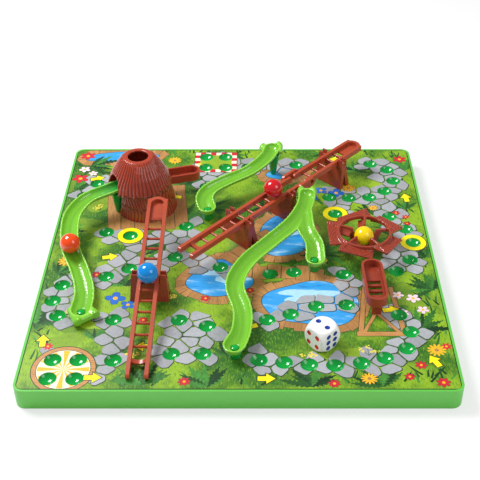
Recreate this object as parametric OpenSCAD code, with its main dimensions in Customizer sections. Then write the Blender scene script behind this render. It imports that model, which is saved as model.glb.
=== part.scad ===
// Snakes and ladders board for marbles: a square tray with dished spaces, three snakes
// to roll down, three see-saw ladders, a water wheel with its trough, and a hut.
// Millimetres. The origin is the centre of the underside, X to the right, Y away, Z up.

/* [Board] */
// Side of the square board
board_side = 330; // [300:1:380]
// Height of the board, from the table to the playing surface
board_h = 18; // [16:0.5:24]
// Radius of the board's corners
corner_r = 8; // [5:0.5:14]
// Thickness of the tray's skirt
skirt_t = 2.4; // [1.6:0.1:4]
// Width of the tray's rim around the playing surface
rim_w = 2.0; // [1.2:0.1:3]
// Thickness of the tray's floor
floor_t = 2.0; // [1.2:0.1:3]
// Thickness of the plate that holds the dished spaces
plate_t = 5.0; // [4.4:0.1:7]
// Thickness of the printed play sheet
sheet_t = 0.5; // [0.3:0.1:1]
// Gap all round the plate and the sheet in the tray
drop_in_gap = 0.3; // [0.1:0.05:0.6]
// Thickness of the ribs under the tray
rib_t = 2.0; // [1.2:0.1:3]
// Radius of the screws that hold the plate down
screw_r = 1.5; // [1.2:0.1:2]
// Radius of the screw heads
screw_head_r = 2.8; // [2.4:0.1:3.6]
// Height of the screw heads
screw_head_h = 1.6; // [1:0.1:2.4]

/* [Spaces] */
// Radius of a dished space at the surface
space_r = 6.7; // [5:0.1:7.6]
// Radius of the bowl that each space is cut with
bowl_r = 8.3; // [8:0.1:9]

/* [Marbles and die] */
// Radius of the marbles
marble_r = 8.4; // [7.6:0.1:8.5]
// Side of the die
die_side = 20; // [14:0.5:22]
// Radius of the die's pips
pip_r = 2.2; // [1.2:0.05:2.3]
// Depth of the die's pips
pip_depth = 0.5; // [0.2:0.05:0.8]

/* [Ladders] */
// Width over a ladder's rails
ladder_w = 17; // [15.5:0.1:17.5]
// Thickness of a rail
rail_t = 3; // [2.2:0.1:3.6]
// Height of a rail
rail_h = 5; // [4:0.1:6]
// Radius of a rung
rung_r = 1.1; // [0.8:0.05:1.4]
// Spacing of the rungs
rung_gap = 11; // [9:0.1:13]
// Length of the closed pocket at a ladder's far end
pocket_l = 22; // [16:0.5:26]
// Thickness of the pocket's floor
pocket_floor_t = 1.5; // [1:0.1:2]
// Radius of the pins that the ladders tilt on
trunnion_r = 2; // [1.5:0.05:2.4]
// Left ladder, from its pins to its lower end
left_low_l = 97; // [85:0.5:100]
// Left ladder, from its pins to its far end
left_high_l = 88.5; // [80:0.5:94]
// Lower right ladder, from its pins to its lower end
lower_low_l = 66; // [50:0.5:75]
// Lower right ladder, from its pins to the knuckle
lower_high_l = 79.5; // [72:0.5:86]
// Upper right ladder, from the knuckle to its pins
upper_low_l = 46; // [38:0.5:50]
// Upper right ladder, from its pins to its far end
upper_high_l = 36; // [32:0.5:44]
// Height of the knuckle's pins above the lower ladder's pins
knuckle_rise = 1.7; // [0:0.1:4]
// Height of the upper ladder's pins above the lower ladder's pins
upper_rise = 1.9; // [0:0.1:4]
// Play of the knuckle's pins across their slots
knuckle_play = 0.3; // [0.25:0.05:0.5]
// Length that the knuckle's pins slide
knuckle_slide = 3.2; // [3:0.1:5]

/* [Ladder stands] */
// Height of a stand's posts above the surface
stand_h = 27; // [25:0.5:32]
// Height of the ladder pins above the surface
trunnion_h = 22.5; // [20:0.5:24]
// Height of the left ladder's pins above the surface
left_trunnion_h = 20; // [18:0.5:22.5]
// Thickness of a post, along the pins
post_t = 4.8; // [3:0.1:5.4]
// How far a post's outer face leans out at its foot
post_splay = 2; // [0:0.1:4]
// Width of a post's top
post_w = 6.4; // [5.6:0.1:8]
// Width of a stand's base, along the ladder
stand_l = 13.5; // [12:0.5:18]
// Gap between a ladder and a post on each side
side_gap = 0.5; // [0.3:0.05:0.8]
// Thickness of a stand's panels
panel_t = 1.8; // [1.2:0.1:2.6]
// Running gap between a pin and its notch
running_gap = 0.05; // [0.02:0.01:0.09]

/* [Snakes] */
// Width over a snake's body
snake_w = 15.8; // [14:0.1:17]
// Depth of a snake's body
snake_d = 6.6; // [6:0.1:8]
// Wall of a snake's body
snake_t = 1.5; // [1:0.1:2]
// Height of a snake's highest rim above the surface
snake_h = 28.5; // [26:0.5:32]
// Radius of the eyes
eye_r = 3.8; // [2.5:0.1:4.5]
// Radius of the spigots that join a snake to its posts
spigot_r = 3; // [2:0.1:3.4]
// Radius of a snake's post at its top
post_top_r = 5.5; // [4.6:0.1:6]
// How much a post narrows towards its foot, per millimetre of height
post_draft = 0.13; // [0.05:0.01:0.15]

/* [Water wheel] */
// Radius over the wheel's paddles
wheel_r = 34.2; // [31:0.1:34.4]
// Radius over the wheel's ring
ring_r = 23; // [20:0.5:25]
// Height of the ring's top above the surface
wheel_h = 19; // [17:0.5:22]
// Height of the ring
ring_h = 3.5; // [3:0.5:7]
// Thickness of the ring and the spokes
vane_t = 2; // [1.4:0.1:2.6]
// Number of spokes and paddles
paddles = 5; // [4:1:6]
// Radius of the wheel's hub
hub_r = 7.6; // [6.5:0.1:8]
// Radius of the wheel's axle
axle_r = 2.5; // [2:0.1:3]

/* [Trough and hut chute] */
// Width over the wheel's trough
trough_w = 17.6; // [15.5:0.1:18]
// Width over the hut's chute
chute_w = 15.6; // [15:0.1:18]
// Depth of the trough and the chute
trough_d = 8; // [7:0.1:10]
// Wall of the trough and the chute
trough_t = 2; // [1.4:0.1:2.6]
// Length of the wheel's trough
trough_l = 54; // [48:0.5:60]
// Height of the trough's rim above the surface
trough_h = 17.5; // [15.5:0.5:22]
// Length of the hut's chute
chute_l = 48; // [40:0.5:50]
// Height of the chute's rim above the surface
chute_h = 23; // [21:0.5:25]

/* [Hut] */
// Height of the hut above the surface
hut_h = 53; // [50:0.5:60]
// Radius of the hut's wall at the surface
hut_r = 27.6; // [26.4:0.1:28.4]
// How much narrower the hut's wall is at the eaves
hut_taper = 4.6; // [3:0.1:5]
// Radius of the thatch at the eaves
eaves_r = 28.5; // [27.5:0.1:30]
// Height of the eaves above the surface
eaves_h = 24; // [23:0.5:26]
// Radius of the hole in the hut's top
hut_hole_r = 9; // [8.6:0.1:10]
// Wall of the hut
hut_t = 2; // [1.4:0.1:2.6]

/* [Hidden] */

$fn = 48;
over = 1;
tray_green = [0.38, 0.73, 0.34];
deep_green = [0.0, 0.59, 0.25];
snake_green = [0.55, 0.82, 0.24];
hut_brown = [0.59, 0.20, 0.12];
ladder_red = [0.72, 0.26, 0.16];

top_z = board_h;
sheet_z = board_h - sheet_t;
plate_z = sheet_z - plate_t;
floor_z = plate_z - floor_t;
drop_in_side = board_side - 2 * (rim_w + drop_in_gap);

// Centres of the dished spaces, as shares of the board's side: the first four are the
// start, the next four the finish, and then the path from one to the other.
space_shares = [
    [-0.424, -0.402], [-0.366, -0.402], [-0.426, -0.461], [-0.366, -0.461],
    [-0.107, 0.455], [-0.050, 0.455], [-0.107, 0.398], [-0.049, 0.398],
    [-0.287, -0.403], [-0.156, -0.382], [-0.084, -0.382], [0.045, -0.402], [0.102, -0.410],
    [0.159, -0.417], [0.217, -0.419], [0.278, -0.412], [0.333, -0.395], [0.387, -0.364],
    [0.403, -0.308], [0.382, -0.249], [0.259, -0.212], [0.185, -0.217], [0.122, -0.246],
    [0.065, -0.266], [-0.077, -0.288], [-0.145, -0.267], [-0.302, -0.266], [-0.438, -0.251],
    [-0.458, -0.197], [-0.444, -0.138], [-0.339, -0.104], [-0.284, -0.072], [-0.170, -0.025],
    [-0.052, -0.066], [0.075, -0.094], [0.135, -0.087], [0.260, -0.096], [0.396, -0.082],
    [0.436, -0.036], [0.454, 0.037], [0.441, 0.096], [0.404, 0.153], [0.257, 0.166],
    [0.246, 0.245], [0.300, 0.242], [0.358, 0.245], [0.404, 0.276], [0.435, 0.328],
    [0.423, 0.386], [0.377, 0.417], [0.158, 0.412], [0.017, 0.399], [-0.101, 0.299],
    [-0.148, 0.108], [-0.295, 0.067], [-0.360, 0.082], [-0.444, 0.252], [-0.415, 0.314]];

// Places of what stands on the board, as shares of its side
left_at_share = [-0.2203, -0.180];
lower_at_share = [-0.003, 0.052];
wheel_at_share = [0.319, 0.012];
hut_at_share = [-0.262, 0.206];
die_at_share = [0.1912, -0.3485];
screw_shares = [[-0.45, -0.33], [0.45, -0.45], [-0.45, 0.45], [0.45, 0.45], [-0.2, -0.46],
    [0.02, -0.20], [0.19, 0.03], [-0.2, -0.09]];
left_plan = 88.8;
lower_plan = 46.9;
chute_plan = 15.5;
snake_mouth_plan = 215.5;
die_turn = 41;
wheel_turn = 11;

function spot(share) = [share[0] * board_side, share[1] * board_side];
function beside(at, plan, s, n) =
    [at[0] + s * cos(plan) - n * sin(plan), at[1] + s * sin(plan) + n * cos(plan)];

left_at = spot(left_at_share);
lower_at = spot(lower_at_share);
wheel_at = spot(wheel_at_share);
hut_at = spot(hut_at_share);
roof_lean = [-5, 2];
roof_at = hut_at + roof_lean;

// The ladders at rest. Each turns on its own pins, and the lower one's far end carries
// slotted lugs for the knuckle pins of the upper one.
ladder_rest_gap = 0.3;
left_pitch = asin((left_trunnion_h - rail_h / 2 - ladder_rest_gap) / left_low_l);
lower_pitch = atan(knuckle_rise / lower_high_l);
upper_pitch = atan((upper_rise - knuckle_rise) / upper_low_l);
middle_share = 0.685;
middle_s = middle_share * lower_high_l;
upper_s = lower_high_l + upper_low_l;
middle_at = beside(lower_at, lower_plan, middle_s, 0);
upper_at = beside(lower_at, lower_plan, upper_s, 0);
middle_trunnion_h = trunnion_h + middle_s * tan(lower_pitch);
rest_notch_play = 0.45;
pin_end_gap = 0.2;
post_in = ladder_w / 2 + side_gap;
pin_l = side_gap + post_t - pin_end_gap;
rail_in = ladder_w / 2 - rail_t;
lug_t = 2.4;
lug_wall = 2;
lug_gap = 0.3;
rung_drop = rail_h / 2 - rung_r - rung_r / 4;

peg_r = 2;
peg_gap = 0.1;
peg_l = 0.7 * plate_t + sheet_t;

// A square with round corners, flat
module round_square(side, r) {
    square([side - 2 * r, side], center = true);
    square([side, side - 2 * r], center = true);
    for (x = [-1, 1], y = [-1, 1])
        translate([x * (side / 2 - r), y * (side / 2 - r)]) circle(r);
}

// A long hole or bar with round ends, flat, from x0 to x1 at the ends' centres
module slot_shape(x0, x1, r) {
    translate([x0, -r]) square([x1 - x0, 2 * r]);
    translate([x0, 0]) circle(r);
    translate([x1, 0]) circle(r);
}

// A flat outline in x and z, made a thickness in y, from y0 to y1
module upright(y0, y1) {
    translate([0, y1, 0]) rotate([90, 0, 0]) linear_extrude(y1 - y0) children();
}

// Something at a place on the playing surface, turned to its plan angle
module on_board(at, plan) {
    translate([at[0], at[1], top_z]) rotate([0, 0, plan]) children();
}

module peg() {
    translate([0, 0, -peg_l]) cylinder(h = peg_l + over, r = peg_r);
}

// The stands' feet, the snakes' posts, the hut and the trough plug in here
snake_left_feet = [spot([-0.3375, 0.1815]), spot([-0.3805, -0.2470])];
door_at = spot([-0.322, 0.190]);
snake_back_feet = [spot([0.090, 0.368]), spot([-0.0915, 0.1475])];
snake_fork_feet = [spot([0.175, 0.131]), spot([-0.0095, -0.3865]), spot([0.1865, -0.0745])];
stand_foot_s = stand_l / 2 - peg_r;
stand_foot_n = post_in + (post_t + post_splay) / 2;
stand_places = [[left_at, left_plan], [lower_at, lower_plan], [middle_at, lower_plan],
    [upper_at, lower_plan]];
stand_pegs = [for (p = stand_places) for (s = [-1, 1]) for (n = [-1, 1])
    beside(p[0], p[1], s * stand_foot_s, n * stand_foot_n)];
hut_peg_s = hut_r - peg_r - hut_t / 5;
hut_peg_plans = [45, 155, 280];
hut_pegs = [for (a = hut_peg_plans) beside(hut_at, a, hut_peg_s, 0)];
trough_at_share = [0.327, -0.176];
trough_plan = 90.8;
trough_tilt = 2;
trough_at = spot(trough_at_share);
trough_post_s = -trough_l / 2 + trough_w / 2 - trough_t;
trough_post_w = 7.5;
trough_peg = beside(trough_at, trough_plan, trough_post_s, 0);
peg_places = concat(stand_pegs, hut_pegs, snake_left_feet, snake_back_feet, snake_fork_feet,
    [trough_peg]);

axle_boss_r = axle_r + 2.5;
axle_boss_l = plate_t + floor_t + 2;
axle_head_r = axle_r + 2;
axle_head_h = 1.4;

module base_tray() {
    boss_r = screw_head_r + rib_t;
    color(tray_green)
    difference() {
        linear_extrude(board_h) round_square(board_side, corner_r);
        translate([0, 0, plate_z])
            linear_extrude(board_h) round_square(board_side - 2 * rim_w, corner_r - rim_w);
        difference() {
            translate([0, 0, -over])
                linear_extrude(floor_z + over)
                round_square(board_side - 2 * skirt_t, corner_r - skirt_t);
            for (a = [0, 90])
                rotate([0, 0, a])
                translate([-board_side / 2, -rib_t / 2, rib_t])
                cube([board_side, rib_t, floor_z]);
            for (s = screw_shares)
                translate([s[0] * board_side, s[1] * board_side, rib_t])
                cylinder(h = floor_z, r = boss_r);
        }
        for (s = screw_shares) translate([s[0] * board_side, s[1] * board_side, 0]) {
            cylinder(h = board_h, r = screw_r + peg_gap);
            cylinder(h = floor_z, r = screw_head_r + peg_gap);
        }
        translate([wheel_at[0], wheel_at[1], 0])
            cylinder(h = board_h, r = axle_boss_r + drop_in_gap);
    }
}

module space_plate() {
    bowl_rise = sqrt(bowl_r * bowl_r - space_r * space_r);
    screw_hole_l = plate_t * 0.7;
    color(deep_green)
    difference() {
        union() {
            translate([0, 0, plate_z])
                linear_extrude(plate_t)
                round_square(drop_in_side, corner_r - rim_w - drop_in_gap);
            translate([wheel_at[0], wheel_at[1], sheet_z - axle_boss_l])
                cylinder(h = axle_boss_l - over, r = axle_boss_r);
        }
        for (s = space_shares)
            translate([s[0] * board_side, s[1] * board_side, sheet_z + bowl_rise])
            sphere(bowl_r);
        for (p = peg_places)
            translate([p[0], p[1], top_z - peg_l - peg_gap]) cylinder(h = board_h, r = peg_r + peg_gap);
        for (s = screw_shares)
            translate([s[0] * board_side, s[1] * board_side, plate_z - over])
            cylinder(h = screw_hole_l + over, r = screw_r + running_gap);
        translate([wheel_at[0], wheel_at[1], 0])
            cylinder(h = board_h + over, r = axle_r + running_gap);
    }
}

module play_sheet() {
    color([0.60, 0.75, 0.25])
    translate([0, 0, sheet_z])
    linear_extrude(sheet_t)
    difference() {
        round_square(drop_in_side, corner_r - rim_w - drop_in_gap);
        for (s = space_shares)
            translate([s[0] * board_side, s[1] * board_side]) circle(space_r);
        for (p = peg_places) translate(p) circle(peg_r + drop_in_gap);
        translate(wheel_at) circle(axle_r + drop_in_gap);
    }
}

module tray_screws() {
    shank_l = floor_t + plate_t * 0.6;
    color([0.7, 0.7, 0.72])
    for (s = screw_shares)
        translate([s[0] * board_side, s[1] * board_side, floor_z - screw_head_h]) {
            difference() {
                cylinder(h = screw_head_h, r = screw_head_r);
                translate([0, 0, -over])
                    cylinder(h = over + screw_head_h / 2, r = screw_r, $fn = 6);
            }
            cylinder(h = screw_head_h + shank_l, r = screw_r);
        }
}

// The hut's top opening, its doorway for the left snake and its doorway for the chute
thatch_shares = [[1.00, 0.00], [0.985, 0.10], [0.93, 0.30], [0.82, 0.52], [0.68, 0.74],
    [0.56, 0.90], [0.47, 0.97]];
door_w = snake_w + 3.4;
door_z = snake_h - snake_d - 1;
door_h = 17.5;
chute_floor_z = chute_h - trough_d;
chute_off = 13.4;
chute_at = beside(hut_at, chute_plan, 21, chute_off);
chute_cut_w = chute_w + 0.6;
chute_head = 2 * marble_r + 0.6;

module thatch(r, h, t) {
    rotate_extrude()
        polygon(concat([[0, eaves_h + t]],
            [for (s = thatch_shares) [r * s[0], eaves_h + t + (h - eaves_h - t) * s[1]]],
            [[0, h]]));
}

module hut_shell() {
    notch_in = post_top_r + post_gap;
    color(hut_brown)
    difference() {
        union() {
            translate([roof_at[0], roof_at[1], top_z]) thatch(eaves_r, hut_h, 0);
            translate([hut_at[0], hut_at[1], top_z])
                cylinder(h = eaves_h + hut_t, r1 = hut_r, r2 = hut_r - hut_taper);
        }
        translate([roof_at[0], roof_at[1], top_z]) {
            thatch(eaves_r - hut_t, hut_h - hut_t, hut_t);
            cylinder(h = hut_h + over, r = hut_hole_r);
        }
        translate([hut_at[0], hut_at[1], top_z - over])
            cylinder(h = eaves_h + hut_t + over, r1 = hut_r - hut_t, r2 = hut_r - hut_t - hut_taper);
        // notch from the ground up for the snake's post
        translate([snake_left_feet[0][0], snake_left_feet[0][1], top_z - over])
            rotate([0, 0, snake_mouth_plan])
            translate([-notch_in, -notch_in, 0])
            cube([hut_r, 2 * notch_in, over + door_z + over]);
        // doorway over the snake's end
        translate([door_at[0], door_at[1], top_z + door_z])
            rotate([0, 0, snake_mouth_plan])
            rotate([90, 0, 90])
            translate([0, 0, -snake_w / 2])
            linear_extrude(eaves_r + hut_r) {
                translate([-door_w / 2, 0]) square([door_w, door_h - door_w / 2]);
                translate([0, door_h - door_w / 2]) circle(door_w / 2);
            }
        // doorway over the chute
        translate([chute_at[0], chute_at[1], top_z + chute_floor_z - peg_gap])
            rotate([0, 0, chute_plan])
            rotate([90, 0, 90])
            translate([0, 0, -hut_r])
            linear_extrude(2 * hut_r) {
                translate([-chute_cut_w / 2, 0])
                    square([chute_cut_w, chute_head]);
                translate([0, chute_head]) circle(chute_cut_w / 2);
            }
    }
    color(hut_brown)
    for (a = hut_peg_plans)
        on_board(hut_at, a) translate([hut_peg_s, 0, 0]) {
            peg();
            cylinder(h = hut_t, r = peg_r);
        }
}

// The floor inside the hut, whose cone sends a marble to the snake or to the chute
module hut_splitter() {
    deck_r = hut_r - hut_t - hut_taper - peg_gap;
    deck_z = snake_h - snake_d + snake_t;
    cone_h = 5;
    cone_r = 5;
    column_r = 5;
    color(hut_brown)
    translate([hut_at[0], hut_at[1], top_z])
    difference() {
        union() {
            cylinder(h = deck_z, r = column_r);
            translate([0, 0, deck_z - hut_t]) cylinder(h = hut_t, r = deck_r);
            translate([roof_lean[0], roof_lean[1], deck_z - hut_t / 2])
                cylinder(h = cone_h + hut_t / 2, r1 = cone_r, r2 = hut_t / 2);
            // bracket under the chute's inner end
            rotate([0, 0, chute_plan])
                translate([-column_r / 2, 0, 0]) cube([column_r, chute_off + 4, chute_floor_z]);
        }
        rotate([0, 0, chute_plan])
            translate([-9, chute_off - chute_cut_w / 2, chute_floor_z])
            cube([2 * hut_r, hut_r, deck_z]);
        translate([door_at[0] - hut_at[0], door_at[1] - hut_at[1], 0])
            rotate([0, 0, snake_mouth_plan])
            translate([-snake_w / 2 - 1, -door_w / 2, door_z - 1])
            cube([hut_r, door_w, door_h]);
    }
}

// A tray with round ends along x, rim at z = 0, with gaps between rungs in its floor
module trough_body(x0, x1, w, gaps) {
    gap_l = 4.4;
    rung_w = 2.6;
    gap_w = w - 2 * trough_t - 2 * rung_r;
    r = w / 2;
    difference() {
        translate([0, 0, -trough_d]) linear_extrude(trough_d) slot_shape(x0 + r, x1 - r, r);
        translate([0, 0, trough_t - trough_d])
            linear_extrude(trough_d) slot_shape(x0 + r, x1 - r, r - trough_t);
        for (i = [0 : gaps[1] - 1])
            translate([gaps[0] + i * (gap_l + rung_w), -gap_w / 2, -trough_d - over])
            cube([gap_l, gap_w, trough_d]);
    }
}

module hut_chute() {
    chute_in = 24;
    chute_out = 16;
    color(hut_brown)
    translate([chute_at[0], chute_at[1], top_z + chute_h])
    rotate([0, 0, chute_plan])
    difference() {
        trough_body(-chute_in, chute_l - chute_out, chute_w, [-chute_in / 6, 3]);
        translate([-chute_in - over, -chute_w, -trough_d - over])
            cube([over + chute_w / 2 - trough_t, 2 * chute_w, 2 * trough_d]);
    }
}

module wheel_trough() {
    skirt_h = 4;
    post_d = 6.5;
    color(ladder_red) {
        difference() {
            union() {
                on_board(trough_at, trough_plan)
                    translate([0, 0, trough_h]) rotate([0, trough_tilt, 0])
                    trough_body(-trough_l / 2, trough_l / 2, trough_w, [-trough_l / 4, 3]);
                on_board(trough_at, trough_plan) translate([trough_post_s, 0, 0]) {
                    translate([-post_d / 2, -trough_post_w / 2, 0])
                        cube([post_d, trough_post_w, trough_h - trough_d + trough_t / 2]);
                    translate([0, 0, trough_h - trough_d - skirt_h])
                        cylinder(h = skirt_h + trough_t / 2, r1 = trough_post_w / 2, r2 = trough_w / 2 - 1.5);
                }
            }
        }
        on_board(trough_at, trough_plan) translate([trough_post_s, 0, 0]) peg();
    }
}

// A stand: an A-shaped frame on each side, sloping panels between, and a notch over each
// frame for the ladder's pins
module stand(pin_h, play) {
    half = stand_l / 2;
    leg_t = 4;
    crown_z = pin_h - rail_h / 2 - 2.2;
    top_h = pin_h + stand_h - trunnion_h;
    module frame_shape(leg, top_z0) {
        difference() {
            polygon([[-half, 0], [half, 0], [post_w / 2, top_z0], [-post_w / 2, top_z0]]);
            polygon([[-half + leg, -over], [half - leg, -over], [0, top_z0 - leg * 1.5]]);
        }
    }
    for (side = [-1, 1])
        scale([1, side, 1])
        difference() {
            intersection() {
                upright(post_in, post_in + post_t + post_splay) {
                    frame_shape(leg_t, crown_z);
                    translate([-post_w / 2, crown_z - over]) square([post_w, top_h - crown_z + over]);
                }
                rotate([90, 0, 90]) translate([0, 0, -stand_l])
                    linear_extrude(2 * stand_l)
                    polygon([[post_in, -over], [post_in + post_t + post_splay * (1 + over / top_h), -over],
                        [post_in + post_t, top_h], [post_in, top_h]]);
            }
            upright(post_in - over, post_in + post_t + post_splay) {
                translate([0, pin_h]) circle(trunnion_r + play);
                translate([-trunnion_r - play, pin_h]) square([2 * (trunnion_r + play), stand_h]);
            }
        }
    upright(-post_in, post_in) frame_shape(panel_t, crown_z);
    for (s = [-1, 1], n = [-1, 1])
        translate([s * stand_foot_s, n * stand_foot_n, -peg_l])
            cylinder(h = peg_l + rung_r, r = peg_r - 0.4);
}

module stand_left() { color(hut_brown) on_board(left_at, left_plan) stand(left_trunnion_h, running_gap); }
module stand_lower() { color(hut_brown) on_board(lower_at, lower_plan) stand(trunnion_h, running_gap); }
module stand_middle() { color(hut_brown) on_board(middle_at, lower_plan) stand(middle_trunnion_h, rest_notch_play); }
module stand_upper() {
    color(hut_brown) on_board(upper_at, lower_plan) stand(trunnion_h + upper_rise, running_gap);
}

// Two rails from x0 to x1 with round ends
module rails(x0, x1) {
    for (side = [-1, 1])
        scale([1, side, 1])
        upright(rail_in, ladder_w / 2) slot_shape(x0 + rail_h / 2, x1 - rail_h / 2, rail_h / 2);
}

module rung(x) {
    translate([x, 0, -rung_drop]) rotate([90, 0, 0]) cylinder(h = 2 * rail_in + rail_t, r = rung_r, center = true);
}

// The thick rung at a ladder's lower end, dished to hold a marble
module dished_rung(x) {
    rung_l = 3.4;
    difference() {
        translate([x - rung_l / 2, -rail_in - rail_t / 2, -rail_h / 2])
            cube([rung_l, 2 * rail_in + rail_t, rail_h]);
        translate([x - rung_l, 0, marble_r - rail_h / 6])
            rotate([0, 90, 0]) cylinder(h = 2 * rung_l, r = marble_r);
    }
}

// The closed pocket at a ladder's far end, which ends at x
module pocket(x) {
    r = ladder_w / 2;
    tip_r = rail_t / 2 + 0.2;
    difference() {
        translate([x - r, 0, -rail_h / 2]) cylinder(h = rail_h, r = r);
        translate([x - r, 0, pocket_floor_t - rail_h / 2]) cylinder(h = rail_h, r = rail_in);
        translate([x - 2 * r - over, -rail_in, pocket_floor_t - rail_h / 2])
            cube([r + over, 2 * rail_in, rail_h]);
    }
    translate([x - pocket_l, -rail_in - rail_t / 2, -rail_h / 2])
        cube([pocket_l - r, 2 * rail_in + rail_t, pocket_floor_t]);
    for (side = [-1, 1])
        translate([x - r / 2, side * (r - tip_r), -rail_h / 2]) cylinder(h = rail_h, r = tip_r);
}

module pins(x) {
    for (side = [-1, 1])
        scale([1, side, 1])
        translate([x, ladder_w / 2 + pin_l, 0]) rotate([90, 0, 0]) cylinder(h = pin_l + rail_t / 2, r = trunnion_r);
}

module ladder_left() {
    last_rung_s = left_low_l - 0.92 * ladder_w;
    first = left_high_l - pocket_l - 2;
    count = floor((first + last_rung_s - rung_gap) / rung_gap);
    color(ladder_red)
    on_board(left_at, left_plan) translate([0, 0, left_trunnion_h]) rotate([0, -left_pitch, 0]) {
        rails(-left_low_l, left_high_l - ladder_w / 3);
        for (i = [0 : count]) rung(first - i * rung_gap);
        dished_rung(-last_rung_s);
        pocket(left_high_l);
        pins(0);
    }
}

module ladder_lower() {
    last_rung_s = lower_low_l - 0.82 * ladder_w;
    count = floor((last_rung_s + lower_high_l - 2 * rung_gap) / rung_gap);
    r = trunnion_r + knuckle_play;
    lug_in = ladder_w / 2 + lug_gap;
    rail_end = lower_high_l - rail_h / 2 - 2.2;
    color(ladder_red)
    on_board(lower_at, lower_plan) translate([0, 0, trunnion_h]) rotate([0, -lower_pitch, 0]) {
        rails(-lower_low_l, rail_end);
        for (i = [1 : count]) rung(-last_rung_s + i * rung_gap);
        dished_rung(-last_rung_s);
        pins(0);
        pins(middle_s / cos(lower_pitch));
        for (side = [-1, 1])
            scale([1, side, 1]) {
                difference() {
                    upright(lug_in, lug_in + lug_t)
                        slot_shape(rail_end - rail_h, lower_high_l / cos(lower_pitch) + knuckle_slide, r + lug_wall);
                    upright(lug_in - over, lug_in + lug_t + over)
                        slot_shape(lower_high_l / cos(lower_pitch), lower_high_l / cos(lower_pitch) + knuckle_slide, r);
                }
                translate([rail_end - rail_h, ladder_w / 2 - rail_t / 2, -rail_h / 2])
                    cube([rail_h * 0.7, rail_t / 2 + lug_gap + lug_t / 2, rail_h]);
            }
    }
}

module ladder_upper() {
    x0 = -upper_low_l / cos(upper_pitch);
    first = upper_high_l - pocket_l - 0.35 * ladder_w;
    count = floor((first - x0) / rung_gap);
    color(ladder_red)
    on_board(upper_at, lower_plan) translate([0, 0, trunnion_h + upper_rise])
    rotate([0, -upper_pitch, 0]) {
        rails(x0 - rail_h / 2, upper_high_l - ladder_w / 3);
        for (i = [0 : count]) rung(first - i * rung_gap);
        pocket(upper_high_l);
        pins(0);
        for (side = [-1, 1])
            scale([1, side, 1])
            translate([x0, ladder_w / 2 + lug_gap + lug_t, 0])
            rotate([90, 0, 0]) cylinder(h = lug_gap + lug_t + rail_t / 2, r = trunnion_r);
    }
}

// The water wheel. Each spoke carries a small curved vane inside the ring and a long
// curved paddle outside it. A profile runs down from the spoke, bends, and goes on flat.
vane_share = 0.8;
function vane_arc(r, bend, slope) = [for (k = [0 : vane_steps])
    let (a = 180 + (90 - slope) * k / vane_steps)
    [bend - vane_share * vane_t / 2 + r * cos(a), wheel_h - vane_t / 4 + r * sin(a)]];
function onward(p, run, slope) = [p[0] + run * cos(slope), p[1] - run * sin(slope)];
function vane_profile(bend, run, slope) =
    let (outer = vane_arc(bend, bend, slope), inner = vane_arc(bend - vane_share * vane_t, bend, slope))
    concat(outer, [onward(outer[vane_steps], run, slope), onward(inner[vane_steps], run, slope)],
        reversed(inner));
vane_steps = 6;

module vane(r0, r1, bend, run, slope) {
    translate([r0, 0, 0]) rotate([90, 0, 90])
        linear_extrude(r1 - r0) polygon(vane_profile(bend, run, slope));
}

module paddle_board(r0, r1, run, slope) {
    drop = run * tan(slope);
    z = wheel_h - 0.8;
    translate([r0, 0, 0]) rotate([90, 0, 90])
        linear_extrude(r1 - r0) polygon([[0, z], [0, z - vane_t], [run, z - vane_t - drop], [run, z - drop]]);
}

// The marble in the hub rests in a dish as deep as this leaves
hub_marble_h = marble_r + 5;

module water_wheel() {
    hub_z = 0.6;
    hub_top = 8.6;
    vane_bend = 6.5;
    paddle_l = 28;
    paddle_slope = 7;
    paddle_turn = 28;
    spoke_in = 9.9;
    gusset = [[0.6, 0.50], [1.35, 0.50], [2.1, 1.95], [1.3, 1.95]];
    bore_l = 3.2;
    color(hut_brown)
    translate([wheel_at[0], wheel_at[1], top_z])
    difference() {
        union() {
            translate([0, 0, hub_z]) cylinder(h = hub_top - hub_z, r = hub_r);
            translate([0, 0, wheel_h - ring_h])
                difference() {
                    cylinder(h = ring_h, r = ring_r);
                    translate([0, 0, -over]) cylinder(h = ring_h + 2 * over, r = ring_r - vane_t);
                }
            for (i = [0 : paddles - 1])
                rotate([0, 0, wheel_turn + i * 360 / paddles]) {
                    upright(-vane_t / 2, vane_t / 2)
                        polygon([for (q = gusset) [q[0] * hub_r, q[1] * hub_top]]);
                    translate([spoke_in, -vane_t / 2, wheel_h - 1.7 * vane_t])
                        cube([wheel_r - spoke_in - 0.4, vane_t, 1.55 * vane_t]);
                    vane(1.5 * hub_r, ring_r - vane_t / 2, vane_bend, 0.2, 1);
                }
            intersection() {
                difference() {
                    cylinder(h = wheel_h + over, r = wheel_r);
                    translate([0, 0, -over]) cylinder(h = wheel_h + 3 * over, r = ring_r - vane_t / 4);
                }
                for (i = [0 : paddles - 1])
                    rotate([0, 0, wheel_turn + i * 360 / paddles])
                    translate([wheel_r, 0, 0])
                    rotate([0, 0, paddle_turn])
                    paddle_board(-wheel_r, 0.3, paddle_l, paddle_slope);
            }
        }
        translate([0, 0, hub_marble_h]) sphere(marble_r + 0.1);
        translate([0, 0, -over]) cylinder(h = hub_z + over + bore_l, r = axle_r + running_gap);
    }
}

module wheel_axle() {
    axle_z = board_h - sheet_t - axle_boss_l - ladder_rest_gap;
    color([0.7, 0.7, 0.72])
    translate([wheel_at[0], wheel_at[1], axle_z]) {
        translate([0, 0, -axle_head_h]) cylinder(h = axle_head_h, r = axle_head_r);
        cylinder(h = top_z + 0.6 + 3.2 - axle_z, r = axle_r);
    }
}

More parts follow.
